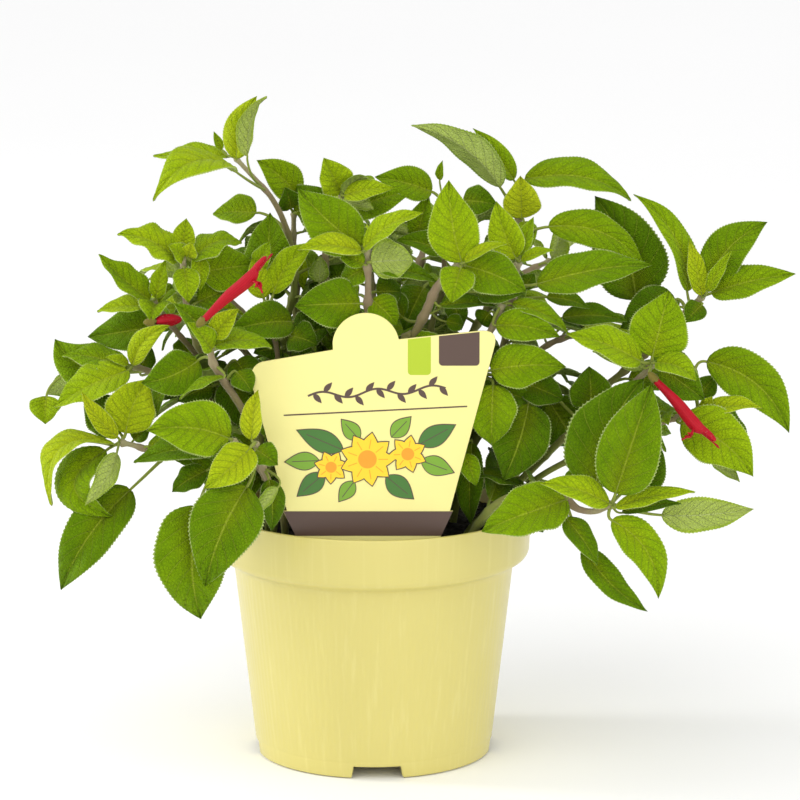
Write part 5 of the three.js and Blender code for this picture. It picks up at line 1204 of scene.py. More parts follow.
def lathe(profile, segments, shape=None):
    """Rings of a turned piece whose profile starts and ends on its axis"""
    angle = 2 * np.pi * np.arange(segments) / segments
    inner = profile[1:-1]
    r = np.repeat(inner[:, :1], segments, 1)
    z = np.repeat(inner[:, 1:], segments, 1)
    if shape:
        r, z = shape(r, z, angle[None])
    points = np.stack([r * np.cos(angle), r * np.sin(angle), z], -1).reshape(-1, 3)
    points = np.concatenate([points, [[0, 0, profile[0][1]], [0, 0, profile[-1][1]]]])
    ring = np.arange(len(inner) * segments).reshape(len(inner), segments)
    beside = np.roll(ring, -1, axis=1)
    faces = np.stack([ring[:-1], beside[:-1], beside[1:], ring[1:]], -1).reshape(-1, 4).tolist()
    start, end = len(points) - 2, len(points) - 1
    for k in range(segments):
        faces.append([start, int(beside[0, k]), int(ring[0, k])])
        faces.append([end, int(ring[-1, k]), int(beside[-1, k])])
    return points, faces


def wall_radius(z):
    """How far the outside of the pot's body is from its axis"""
    return BASE_RADIUS + (NECK_RADIUS - BASE_RADIUS) * z / NECK_TOP


def pot_shape(r, z, angle):
    """Fine upright ribs round the pot's body, and the notches in its foot"""
    outer = (abs(r - wall_radius(z)) < 0.2) & (z > RIBS["bottom"]) & (z < RIBS["top"])
    r = r - np.where(outer, RIBS["depth"] * (0.5 - 0.5 * np.cos(RIBS["count"] * angle)), 0)
    step = 2 * np.pi / FOOT_NOTCH["count"]
    off = (angle - FOOT_NOTCH["turn"] + np.pi / 2 + step / 2) % step - step / 2
    inside = (FOOT_NOTCH["width"] / 2 - abs(off) * BASE_RADIUS) / FOOT_NOTCH["slant"]
    lowest = FOOT_NOTCH["height"] * np.clip(inside + 0.5, 0, 1)
    return r, np.where(r > BASE_RADIUS - 5, np.maximum(z, lowest), z)


def make_pot():
    """The pot as one turned shell with rounded corners, ribs, foot notches, and drain holes in its floor"""
    line = {z: FOOT_LINE["depth"] for z in FOOT_LINE["rows"]}
    wall_rows = [(wall_radius(z) - line.get(z, 0), z, 0) for z in WALL_ROWS]
    inner_base = BASE_RADIUS - WALL + DRAFT
    inner_spread = NECK_RADIUS - BASE_RADIUS - DRAFT
    inner_height = NECK_TOP - FLOOR[1]
    inner_wall = [(inner_base + inner_spread * f, FLOOR[1] + inner_height * f, 0) for f in (0.8, 0.4)]
    profile = [
        (0, FLOOR[0], 0), (BASE_RADIUS - WALL, FLOOR[0], 0), (BASE_RADIUS - WALL - DRAFT, 0, 0.4),
        (BASE_RADIUS, 0, 0.6), *wall_rows, (NECK_RADIUS, NECK_TOP, 1.6),
        (SKIRT_RADIUS - 1, SKIRT_BOTTOM - 0.6, 0.9), (SKIRT_RADIUS, SKIRT_BOTTOM + 1.2, 0.9),
        (SKIRT_RADIUS + 0.3, 88, 0), (RIM_RADIUS, POT_HEIGHT, 0.6), (RIM_RADIUS - WALL, POT_HEIGHT, 0.6),
        (SKIRT_RADIUS - WALL, LEDGE, 0.8), (NECK_RADIUS - WALL, NECK_TOP, 0.8), *inner_wall,
        (inner_base, FLOOR[1], 0.6), (0, FLOOR[1], 0),
    ]
    points, faces = lathe(rounded_profile(profile), POT_SEGMENTS, pot_shape)
    form = Form()
    form.add(points, faces)
    pot = make_object("flower_pot", form, [pot_material()])
    cutter = bpy.data.meshes.new("drain_cutter")
    size = DRAIN_HOLE["radius"] * MM
    tool = bmesh.new()
    for k in range(DRAIN_HOLE["count"]):
        angle = (k + 0.5) * 2 * math.pi / DRAIN_HOLE["count"]
        centre = DRAIN_HOLE["ring"] * np.array([math.cos(angle), math.sin(angle)])
        made = bmesh.ops.create_cone(tool, cap_ends=True, segments=DRAIN_HOLE["sides"], radius1=size,
                                     radius2=size, depth=DRAIN_HOLE["cutter"] * MM)
        at = Vector((centre[0] * MM + AXIS[0], centre[1] * MM + AXIS[1], FLOOR[1] * MM))
        bmesh.ops.translate(tool, verts=made["verts"], vec=at)
    tool.to_mesh(cutter)
    tool.free()
    cutter = bpy.data.objects.new("drain_cutter", cutter)
    bpy.context.scene.collection.objects.link(cutter)
    cut = pot.modifiers.new("drains", "BOOLEAN")
    cut.operation = "DIFFERENCE"
    cut.solver = "EXACT"
    cut.object = cutter
    apply_modifiers(pot)
    bpy.data.objects.remove(cutter)
    settle(pot, "pot_plastic", "pot")


def apply_modifiers(piece):
    """Leaves the piece with the mesh that its modifiers make"""
    bpy.context.view_layer.update()
    graph = bpy.context.evaluated_depsgraph_get()
    mesh = bpy.data.meshes.new_from_object(piece.evaluated_get(graph))
    piece.modifiers.clear()
    piece.data = mesh


def make_soil():
    """The soil with a lumpy top, and loose crumbs on it"""
    top_radius = SKIRT_RADIUS - WALL - GAP
    rings = np.linspace(0, top_radius, SOIL_GRAIN["rings"])[1:]
    profile = [[0, FLOOR[1] + GAP], [BASE_RADIUS - WALL, FLOOR[1] + GAP],
               [NECK_RADIUS - WALL - GAP, NECK_TOP], [top_radius, LEDGE],
               [top_radius, SOIL_TOP - SOIL_GRAIN["edge"]]]
    profile += [[r, SOIL_TOP] for r in rings[::-1]] + [[0, SOIL_TOP]]

    def lumps(r, z, angle):
        x, y = r * np.cos(angle), r * np.sin(angle)
        height = np.zeros_like(r)
        for i, j in zip(*np.nonzero(z == SOIL_TOP)):
            place = Vector((x[i, j], y[i, j], 0.0))
            height[i, j] = sum(noise.noise(place * scale) * share for scale, share in SOIL_GRAIN["lumps"])
        return r, z + height * SOIL_GRAIN["height"]

    points, faces = lathe(np.array(profile), SOIL_GRAIN["segments"], lumps)
    form = Form()
    form.add(points, faces)
    draw = park_miller(SOIL_GRAIN["seed"])
    ball = bmesh.new()
    bmesh.ops.create_icosphere(ball, subdivisions=1, radius=1)
    ball_points = np.array([v.co for v in ball.verts])
    ball_faces = [[v.index for v in face.verts] for face in ball.faces]
    ball.free()
    for _ in range(SOIL_GRAIN["crumbs"]):
        angle = between(draw, (0, 2 * math.pi))
        radius = (top_radius - 2) * math.sqrt(draw())
        size = SOIL_GRAIN["crumb"][0] + SOIL_GRAIN["crumb"][1] * draw() ** 3
        bumps = 1 + 0.3 * np.array([draw() for _ in range(len(ball_points))])[:, None]
        centre = np.array([radius * math.cos(angle), radius * math.sin(angle), SOIL_TOP + 0.25 * size])
        stretch = np.array([between(draw, span) for span in ((0.7, 1.3), (0.7, 1.3), (0.5, 0.9))])
        form.add(centre + ball_points * bumps * size * stretch, ball_faces)
    settle(make_object("soil_crumbs", form, [soil_material()]), "potting_soil", "soil")


def arc(centre, radius, start, end, steps):
    angle = np.linspace(start, end, steps + 1)
    return [[centre[0] + radius * math.cos(a), centre[1] + radius * math.sin(a)] for a in angle]


def label_outline():
    p = {name: np.array(place, float) for name, place in LABEL_OUTLINE.items()}
    left_corner = quadratic(p["side_left"], p["corner_left"], p["top_left"], np.linspace(0, 1, 9))
    right_corner = quadratic(p["top_right"], p["corner_right"], p["side_right"], np.linspace(0, 1, 9))
    outline = [p["band_left"], p["plate_left"], *left_corner, p["bump_left"]]
    outline += arc(BUMP["centre"], BUMP["radius"], BUMP["from"], BUMP["to"], 28)
    outline += [*right_corner, p["plate_right"], p["band_right"], p["neck_right"]]
    outline += [(STAKE["right"], STAKE["shoulder"]), (STAKE["point_right"], STAKE["foot"]),
                (STAKE["point_left"], STAKE["foot"]), (STAKE["left"], STAKE["shoulder"]), p["neck_left"]]
    return [tuple(point) for point in outline]


def card(name, outlines, front, thickness, material, bevel=0.0):
    """Flat pieces with outlines of (across, up) points, each one's front a hair before the one before it"""
    made = bmesh.new()
    for k, outline in enumerate(outlines):
        y = (front - INK_STEP * k) * MM + AXIS[1]
        verts = [made.verts.new(Vector((x * MM + AXIS[0], y, z * MM))) for x, z in outline]
        face = made.faces.new(verts)
        face.normal_update()
        if face.normal.y > 0:
            face.normal_flip()
        back = bmesh.ops.extrude_face_region(made, geom=[face])
        moved = [v for v in back["geom"] if isinstance(v, bmesh.types.BMVert)]
        bmesh.ops.translate(made, verts=moved, vec=Vector((0, thickness * MM, 0)))
    bmesh.ops.recalc_face_normals(made, faces=made.faces)
    mesh = bpy.data.meshes.new(name)
    made.to_mesh(mesh)
    made.free()
    mesh.materials.append(material)
    piece = bpy.data.objects.new(name, mesh)
    bpy.context.scene.collection.objects.link(piece)
    if bevel:
        round_off = piece.modifiers.new("round", "BEVEL")
        round_off.width = bevel * MM
        round_off.segments = 2
        round_off.limit_method = "ANGLE"
        round_off.angle_limit = math.radians(60)
        apply_modifiers(piece)
    return piece


def smooth_path(points, steps):
    """Places on a smooth way through points, and how far along it each is, from 0 to 1"""
    u = np.linspace(0, len(points) - 1, steps + 1)
    return curve(points, u), u / (len(points) - 1)


def tube_places(share, turn):
    """What a tube's material reads: how far along and how far round each point is"""
    return np.stack([np.repeat(share, len(turn) // len(share)), turn, np.zeros(len(turn))], -1)


def stalk_and_calyx(form, start, foot, mouth):
    """A bloom's thin stalk and the toothed green cup that holds its tube"""
    axis = unit(mouth - foot)
    rim = foot - axis * GAP
    cup = rim - axis * CALYX["length"]
    path, _ = smooth_path(np.array([start, (start + cup) / 2, cup]), 10)
    points, faces, _ = tube(path, BACKWARDS, CALYX["stalk"], CALYX["stalk"], CALYX["stalk_sides"])
    form.add(points, faces, STEM_SLOT, (1, 0, 1))
    sides = CALYX["sides"]
    t, radius = np.array(CALYX["rows"]).T
    path = cup + axis * (t * CALYX["length"])[:, None]
    points, faces, _ = tube(path, BACKWARDS, radius, radius, sides)
    grid = points.reshape(len(t), sides, 3)
    lobe = 0.5 + 0.5 * np.cos(CALYX["teeth"] * 2 * np.pi * np.arange(sides) / sides)
    centre = path[:, None]
    for step, row in ((1, -2), (2, -1)):
        grid[row] = grid[row] - axis * (CALYX["length"] * CALYX["tooth"] * step * (1 - lobe))[:, None]
        grid[row] = centre[row] + (grid[row] - centre[row]) * (1.0 + CALYX["flare"] * (1 - lobe[:, None]))
    form.add(grid.reshape(-1, 3), faces, STEM_SLOT, (1, 0, 2))


def bloom_form(flower):
    """A red tube that widens to its mouth, with a long hood, a lobed lower lip and two stamens"""
    foot, mouth, upper, lower = (seen(flower[key]) for key in ("foot", "mouth", "upper_lip", "lower_lip"))
    axis = unit(mouth - foot)
    side = unit(np.cross(axis, unit(upper - lower)))
    over = np.cross(side, axis)
    form = Form()
    hood_axis = unit(upper - mouth)
    bow = over * 0.5
    sides = BLOOM["sides"]
    way = np.array([foot, foot + (mouth - foot) * 0.5 + bow, mouth, (mouth + upper) / 2 + bow, upper])
    path, f = smooth_path(way, BLOOM["steps"])
    radius = np.interp(f, *zip(*BLOOM["radius"]))
    points, faces, turn = tube(path, over, radius * np.interp(f, *zip(*BLOOM["flat"])), radius, sides)
    grid = points.reshape(len(path), sides, 3)
    ridge = 1 + BLOOM["ridge"] * np.cos(BLOOM["ridges"] * 2 * np.pi * np.arange(sides) / sides)
    grid = path[:, None] + (grid - path[:, None]) * ridge[None, :, None]
    form.add(grid.reshape(-1, 3), faces, 0, tube_places(f, turn))
    bend = (mouth + lower) / 2 + axis * 1.4
    for offset, share, wide in BLOOM["lobes"]:
        end = mouth + (lower - mouth) * share + side * offset * 1.5
        turn_out = bend + side * offset * 0.8
        way = np.array([mouth - axis * 1.5, turn_out * 0.55 + mouth * 0.45, turn_out, end])
        path, f = smooth_path(way, 14)
        points, faces, turn = tube(path, over, wide * np.interp(f, *zip(*BLOOM["lobe"])), 0.32, 12)
        form.add(points, faces, 0, tube_places(0.6 + 0.4 * f, turn))
    for offset in BLOOM["stamens"]:
        end = upper + hood_axis * (2.6 + offset) - over * (1.2 + offset) + side * offset
        way = np.array([mouth - axis, mouth + hood_axis * 3 - over * 0.9 + side * offset, end])
        path, f = smooth_path(way, 12)
        thin = np.interp(f, *zip(*BLOOM["stamen"]))
        points, faces, _ = tube(path, over, thin, thin, 8)
        form.add(points, faces, 0, (0.9, 0, 0))
    add_hairs(form, path_hairs(foot, mouth, upper, over, side), 1, BLOOM["hair"], PETAL_HAIR_THICK)
    return form


def path_hairs(foot, mouth, upper, over, side):
    """Where short hairs stand on a bloom's hood, and which way they point"""
    draw = park_miller(BLOOM["seed"])
    hairs = []
    for _ in range(BLOOM["hairs"]):
        f = draw() ** 0.8
        angle = between(draw, (0, 2 * math.pi))
        out = over * math.cos(angle) + side * math.sin(angle)
        base = mouth + (upper - mouth) * f if draw() < 0.7 else foot + (mouth - foot) * f
        radius = 1.15 * (1.2 - 0.5 * f)
        hairs.append((base + out * radius, unit(out + 0.4 * unit(upper - mouth))))
    return hairs


def add_hairs(form, hairs, slot, length, thick):
    """Tiny three-sided cones"""
    for base, out in hairs:
        side = unit(np.cross(out, np.array([0.31, 0.17, 0.93])))
        over = np.cross(out, side)
        ring = [base - out * 0.1 + thick * (side * math.cos(a) + over * math.sin(a)) for a in (0, 2.1, 4.2)]
        form.add(np.array([*ring, base + out * length]), [[0, 2, 1], [0, 1, 3], [1, 2, 3], [2, 0, 3]], slot)


def make_blooms():
    """The open blooms, and the bud as a folded spindle"""
    petals, fuzz = petal_material(), fuzz_material("petal_hair", (0.75, 0.22, 0.25, 1))
    for flower in FLOWERS:
        piece = make_object("bloom_" + flower["name"].split("_")[1], bloom_form(flower), [petals, fuzz])
        settle(piece, "petals", flower["name"])
    low, high = seen(BUD["from"]), seen(BUD["to"])
    form = Form()
    sides = BUD_FORM["sides"]
    t = np.linspace(0, 1, BUD_FORM["rows"])
    radius = BUD["radius"] * np.sqrt(np.maximum(0.004, 1 - (2 * t - 1) ** 2)) * (1 - 0.2 * t)
    path = low + (high - low) * t[:, None]
    points, faces, turn = tube(path, BACKWARDS, radius, radius * BUD_FORM["flat"], sides)
    grid = points.reshape(len(t), sides, 3)
    round_it = BUD_FORM["folds"] * 2 * np.pi * np.arange(sides) / sides
    folds = 1 + BUD_FORM["fold"] * np.cos(round_it + 3 * t[:, None])
    grid = path[:, None] + (grid - path[:, None]) * folds[..., None]
    form.add(grid.reshape(-1, 3), faces, 0, tube_places(t, turn))
    draw = park_miller(BUD_FORM["seed"])
    hairs = []
    axis = unit(high - low)
    side = unit(np.cross(axis, UP))
    over = np.cross(side, axis)
    for _ in range(BUD_FORM["hairs"]):
        f = between(draw, (0.1, 0.95))
        angle = between(draw, (0, 2 * math.pi))
        out = side * math.cos(angle) + over * math.sin(angle)
        r = BUD["radius"] * math.sqrt(max(0.0, 1 - (2 * f - 1) ** 2)) * (1 - 0.2 * f) * 0.95
        hairs.append((low + (high - low) * f + out * r, unit(out + 0.5 * axis)))
    add_hairs(form, hairs, 1, BUD_FORM["hair"], PETAL_HAIR_THICK)
    settle(make_object("bloom_bud", form, [petals, fuzz]), "petals", "flower_bud")


def stem_hairs(stem, seed):
    """Where fine hairs stand on the young end of a stem, and which way they point"""
    draw = park_miller(seed)
    points = stem["points"]
    last = len(points) - 1
    hairs = []
    for _ in range(STEM_HAIRS["count"]):
        u = last - (last - 2) * draw() ** 1.4 * 0.75
        place = curve(points, [u - 0.02, u, u + 0.02])
        along = unit(place[2] - place[0])
        side = unit(np.cross(along, np.array([0.2, 0.1, 0.97])))
        over = np.cross(along, side)
        angle = between(draw, (0, 2 * math.pi))
        out = side * math.cos(angle) + over * math.sin(angle)
        radius = stem["radius"][0] + (stem["radius"][1] - stem["radius"][0]) * u / last
        hairs.append((place[1] + out * radius, unit(out + 0.3 * along)))
    return hairs


def make_stems(stems):
    """A piece for each leafy stem, with its leaves, its fine hairs and the stalk of its bloom"""
    materials = [leaf_material(), stem_material(), fuzz_material("stem_hair", (0.7, 0.74, 0.5, 1))]
    stalks = {flower["stem"]: (flower["at"], flower["foot"], flower["mouth"]) for flower in FLOWERS}
    stalks[BUD["stem"]] = (BUD["at"], BUD["from"], BUD["to"])
    for index, stem in enumerate(stems):
        form = Form()
        draw = park_miller(40503 + 31 * index)
        for leaf, place in stem["leaves"]:
            add_leaf(form, stem, leaf, place, draw())
        add_stem(form, stem)
        if stem["name"] in stalks:
            at, foot, mouth = stalks[stem["name"]]
            start = curve(stem["points"], min(at + WAY_START, len(stem["points"]) - 1))[0]
            stalk_and_calyx(form, start, seen(foot), seen(mouth))
        hairs = stem_hairs(stem, STEM_HAIRS["seed"] + index)
        add_hairs(form, hairs, HAIR_SLOT, STEM_HAIRS["length"], STEM_HAIRS["thick"])
        settle(make_object("leafy_" + stem["name"], form, materials), "foliage", stem["name"])


class Shader:
    """A material's nodes, made one after another"""

    def __init__(self, name, roughness=0.5):
        self.material = bpy.data.materials.new(name)
        self.material.use_nodes = True
        self.tree = self.material.node_tree
        self.surface = self.tree.nodes["Principled BSDF"]
        self.surface.inputs["Roughness"].default_value = roughness

    def node(self, kind, **settings):
        made = self.tree.nodes.new(kind)
        for key, value in settings.items():
            setattr(made, key, value)
        return made

    def feed(self, socket, value):
        if isinstance(value, bpy.types.NodeSocket):
            self.tree.links.new(value, socket)
        else:
            socket.default_value = value

    def math(self, operation, a, b=0.0, clamp=False):
        made = self.node("ShaderNodeMath", operation=operation, use_clamp=clamp)
        self.feed(made.inputs[0], a)
        self.feed(made.inputs[1], b)
        return made.outputs[0]

    def plus(self, a, b):
        return self.math("ADD", a, b)

    def minus(self, a, b):
        return self.math("SUBTRACT", a, b)

    def times(self, a, b):
        return self.math("MULTIPLY", a, b)

    def mix(self, share, a, b, blend="MIX"):
        made = self.node("ShaderNodeMix", data_type="RGBA", blend_type=blend)
        self.feed(made.inputs["Factor"], share)
        self.feed(made.inputs[6], a)
        self.feed(made.inputs[7], b)
        return made.outputs[2]

    def ramp(self, value, stops, mode="LINEAR"):
        made = self.node("ShaderNodeValToRGB")
        made.color_ramp.interpolation = mode
        elements = made.color_ramp.elements
        while len(elements) < len(stops):
            elements.new(0.5)
        for element, (place, colour) in zip(elements, stops):
            element.position = place
            element.color = colour if len(colour) == 4 else (*colour, 1)
        self.feed(made.inputs[0], value)
        return made.outputs[0]

    def span(self, value, low, high, to_low=0.0, to_high=1.0):
        made = self.node("ShaderNodeMapRange", interpolation_type="SMOOTHSTEP")
        for key, number in zip(("Value", "From Min", "From Max", "To Min", "To Max"),
                               (value, low, high, to_low, to_high)):
            self.feed(made.inputs[key], number)
        return made.outputs[0]

    def fade(self, value, low, high):
        """1 up to low, and then less until 0 at high"""
        return self.span(value, low, high, 1.0, 0.0)

    def place(self):
        return self.node("ShaderNodeTexCoord").outputs["Object"]

    def noise(self, scale, detail=3.0, rough=0.5, vector=None):
        made = self.node("ShaderNodeTexNoise")
        self.feed(made.inputs["Vector"], vector or self.place())
        self.feed(made.inputs["Scale"], scale)
        self.feed(made.inputs["Detail"], detail)
        self.feed(made.inputs["Roughness"], rough)
        return made.outputs[0]

    def attribute(self, name):
        found = self.node("ShaderNodeAttribute", attribute_name=name, attribute_type="GEOMETRY")
        split = self.node("ShaderNodeSeparateXYZ")
        self.tree.links.new(found.outputs["Vector"], split.inputs[0])
        return split.outputs[0], split.outputs[1], split.outputs[2]

    def bump(self, height, strength, distance):
        made = self.node("ShaderNodeBump")
        self.feed(made.inputs["Strength"], strength)
        self.feed(made.inputs["Distance"], distance)
        self.feed(made.inputs["Height"], height)
        self.feed(self.surface.inputs["Normal"], made.outputs[0])

    def paint(self, colour, roughness=None):
        self.feed(self.surface.inputs["Base Color"], colour)
        if roughness is not None:
            self.feed(self.surface.inputs["Roughness"], roughness)
        return self.material

    def done(self, kind, colour, noise, height):
        """The finished material: its bump, its finish, its colour and a roughness that follows a noise"""
        finish = FINISH[kind]
        self.bump(height, *finish["bump"])
        for name, value in finish["surface"].items():
            self.surface.inputs[name].default_value = value
        smoothest, more = finish["rough"]
        return self.paint(colour, self.plus(smoothest, self.times(noise, more)))


def darker(colour, share):
    return tuple(c * (1 - share) for c in colour[:3]) + (1,)


def leaf_material():
    """Green, darker with age, with a pale midrib and rim, fine veins, painted shade in the grooves beside the
    veins and along the fine net, and a grey-green underside
    """
    shader = Shader("sage_leaf")
    side, along, under = shader.attribute("leaf_place")
    tone, seed, _ = shader.attribute("leaf_look")
    off = shader.math("ABSOLUTE", side)
    cloud = shader.noise(NOISE["leaf"])
    grit = shader.noise(NOISE["leaf_grit"])
    for change, share in zip((cloud, grit, seed), LEAF_CHANGE):
        tone = shader.plus(tone, shader.times(shader.minus(change, 0.5), share))
    green = shader.ramp(tone, LEAF_TONES)
    heart = shader.fade(shader.plus(off, shader.times(along, 0.9)), 0.1, 0.95)
    green = shader.mix(shader.times(heart, LEAF_SHARE["heart"]), green, LEAF_WARM)
    phase = shader.minus(along, shader.times(off, VEINS["rake"]))
    phase = shader.plus(shader.times(phase, VEINS["pairs"]), seed)
    near = shader.math("PINGPONG", phase, 0.5)
    lateral = shader.times(shader.fade(near, 0.0, 0.06), shader.fade(off, 0.7, 1.0))
    # Painted shade: a darker band in the grooves on either side of each lateral vein
    vein_groove_shade = shader.times(shader.fade(near, 0.0, 0.32), shader.fade(off, 0.6, 1.0))
    rib = shader.fade(off, 0.01, 0.04)
    net = shader.node("ShaderNodeTexVoronoi", feature="DISTANCE_TO_EDGE")
    shader.feed(net.inputs["Vector"], shader.place())
    shader.feed(net.inputs["Scale"], NOISE["leaf_net"])
    mesh_line = shader.fade(net.outputs["Distance"], 0.0, 0.2)
    colour = green
    # Painted shade: the green darkened beside the lateral veins and along the grooves of the fine net
    for mark, share in ((vein_groove_shade, LEAF_SHARE["vein_groove_shade"]), (mesh_line, LEAF_SHARE["net"])):
        shade = shader.times(mark, share)
        deep = shader.mix(1.0, green, LEAF_GROOVE_SHADE, "MULTIPLY")
        colour = shader.mix(shade, colour, deep)
    colour = shader.mix(shader.times(lateral, LEAF_SHARE["lateral"]), colour, LEAF_VEIN)
    colour = shader.mix(shader.times(rib, LEAF_SHARE["rib"]), colour, LEAF_VEIN)
    rim = shader.span(off, 0.92, 1.0)
    colour = shader.mix(shader.times(rim, LEAF_SHARE["rim"]), colour, LEAF_RIM)
    below = shader.mix(LEAF_SHARE["under"], green, LEAF_UNDER)
    veins = shader.math("MAXIMUM", rib, shader.times(lateral, 0.75))
    veins = shader.math("MAXIMUM", veins, shader.times(mesh_line, 0.3))
    below = shader.mix(shader.times(veins, LEAF_SHARE["under_vein"]), below, LEAF_UNDER_VEIN)
    colour = shader.mix(under, colour, below)
    relief = shader.minus(shader.times(grit, 0.6), shader.times(mesh_line, 0.4))
    relief = shader.minus(relief, shader.times(lateral, 0.5))
    return shader.done("leaf", colour, cloud, relief)


def stem_material():
    """Brown bark that is greener where it is younger, leaf stalks, and the calyx in its own colour"""
    shader = Shader("sage_stem")
    _, _, kind = shader.attribute("leaf_place")
    age, _, _ = shader.attribute("leaf_look")
    streak = shader.noise(NOISE["stem"], 4.0)
    bark = shader.ramp(shader.plus(age, shader.times(shader.minus(streak, 0.5), 0.5)), STEM_TONES)
    stalk = shader.mix(streak, STALK_TONES[0], STALK_TONES[1])
    colour = shader.mix(shader.math("MINIMUM", kind, 1.0), bark, stalk)
    colour = shader.mix(shader.math("SUBTRACT", kind, 1.0, clamp=True), colour, CALYX_TONE)
    return shader.done("stem", colour, streak, shader.noise(NOISE["stem_grit"]))


def fuzz_material(name, colour):
    """Fine hairs, darker in places"""
    shader = Shader(name, 0.7)
    return shader.paint(shader.mix(shader.noise(NOISE["fuzz"], 2.0), colour, darker(colour, 0.25)))


def petal_material():
    """Crimson in two tones, with fine darker lines along each tube"""
    shader = Shader("crimson_petal")
    _, turn, _ = shader.attribute("leaf_place")
    patch = shader.noise(NOISE["petal"], 4.0)
    colour = shader.mix(patch, PETAL_TONES[0], PETAL_TONES[1])
    lines = shader.math("PINGPONG", shader.times(turn, PETAL_LINES["count"]), 0.5)
    lines = shader.times(shader.fade(lines, 0.0, 0.3), PETAL_LINES["share"])
    colour = shader.mix(lines, colour, PETAL_TONES[2])
    return shader.done("petal", colour, patch, shader.noise(NOISE["petal_grit"]))


def pot_material():
    """Glossy cream plastic with faint upright streaks"""
    shader = Shader("cream_plastic")
    cloud = shader.noise(NOISE["pot"])
    colour = shader.mix(cloud, POT_TONES[0], POT_TONES[1])
    upright = shader.node("ShaderNodeMapping")
    shader.feed(upright.inputs["Vector"], shader.place())
    upright.inputs["Scale"].default_value = (1, 1, 0.02)
    streak = shader.noise(NOISE["pot_streak"], 3.0, 0.6, upright.outputs[0])
    colour = shader.mix(shader.times(shader.span(streak, 0.5, 0.75), 0.35), colour, POT_STREAK)
    return shader.done("pot", colour, cloud, shader.noise(NOISE["pot_grit"], 2.0))


def soil_material():
    """Dark crumbly soil"""
    shader = Shader("potting_soil")
    fine = shader.noise(NOISE["soil_grit"], 5.0, 0.7)
    coarse = shader.noise(NOISE["soil"])
    colour = shader.ramp(shader.times(shader.plus(fine, coarse), 0.5), SOIL_TONES)
    return shader.done("soil", colour, coarse, fine)


def card_material(name, colour):
    """Printed card: one ink with a faint unevenness and a fine grain"""
    shader = Shader(name)
    cloud = shader.noise(NOISE["card"])
    grit = shader.noise(NOISE["card_grit"], 2.0)
    return shader.done("card", shader.mix(cloud, darker(colour, CARD_CHANGE), colour), cloud, grit)


def leaf_outline(foot, tip, width, steps=14):
    """A pointed leaf as a flat outline"""
    foot, tip = np.array(foot, float), np.array(tip, float)
    along = tip - foot
    side = np.array([-along[1], along[0]]) / np.linalg.norm(along)
    t = np.linspace(0, 1, steps + 1)
    out = 0.5 * width * np.sin(np.pi * t**0.8)
    left = foot + along * t[:, None] + side * out[:, None]
    right = foot + along * t[:, None] - side * out[:, None]
    return [tuple(p) for p in left] + [tuple(p) for p in right[-2:0:-1]]


def bar(a, b, width):
    """A straight stroke as one outline"""
    a, b = np.array(a, float), np.array(b, float)
    side = np.array([-(b - a)[1], (b - a)[0]]) / np.linalg.norm(b - a) * width / 2
    return [tuple(a + side), tuple(b + side), tuple(b - side), tuple(a - side)]


def disc(centre, radius, steps=28):
    return [tuple(p) for p in arc(centre, radius, 0, 2 * math.pi, steps)[:-1]]


def petals_round(centre, reach, width, count, turn=0.0):
    """A ring of petals"""
    made = []
    for k in range(count):
        angle = turn + 2 * math.pi * k / count
        way = np.array([math.cos(angle), math.sin(angle)])
        made.append(leaf_outline(np.array(centre) + way * 0.9, np.array(centre) + way * reach, width))
    return made


def wavy(start, end, height, turns, width, steps=60):
    """A wavy stroke as one outline"""
    f = np.linspace(0, 1, steps + 1)
    line = np.array(start) + np.outer(f, np.subtract(end, start))
    line[:, 1] += height * np.sin(2 * np.pi * turns * f)
    along = np.gradient(line, axis=0)
    side = np.stack([-along[:, 1], along[:, 0]], axis=1)
    side *= width / 2 / np.linalg.norm(along, axis=1)[:, None]
    return [tuple(p) for p in line + side] + [tuple(p) for p in (line - side)[::-1]]


def tab(left, right, foot, corner=1.4):
    """A plain block that hangs from the card's upper edge"""
    top = [CARD_EDGE[1] + (x - CARD_EDGE[0]) * CARD_EDGE[2] for x in (left, right)]
    return ([(left, top[0]), (right, top[1])]
            + [tuple(p) for p in arc((right - corner, foot + corner), corner, 0, -math.pi / 2, 6)]
            + [tuple(p) for p in arc((left + corner, foot + corner), corner, -math.pi / 2, -math.pi, 6)])


def print_layer(name, outlines, colour, depth):
    """One ink on the card, as deep as it stands before the card's face"""
    piece = card(name, outlines, LABEL_FRONT - depth, depth + 0.08, card_material(name + "_ink", colour))
    settle(piece, "label_plastic")


def inked(foot, tip, width, line=0.32):
    """The brown shape under a printed leaf, a line wider all round"""
    foot, tip = np.array(foot, float), np.array(tip, float)
    way = unit(tip - foot)
    return leaf_outline(foot - way * line, tip + way * 1.8 * line, width + 2.2 * line)


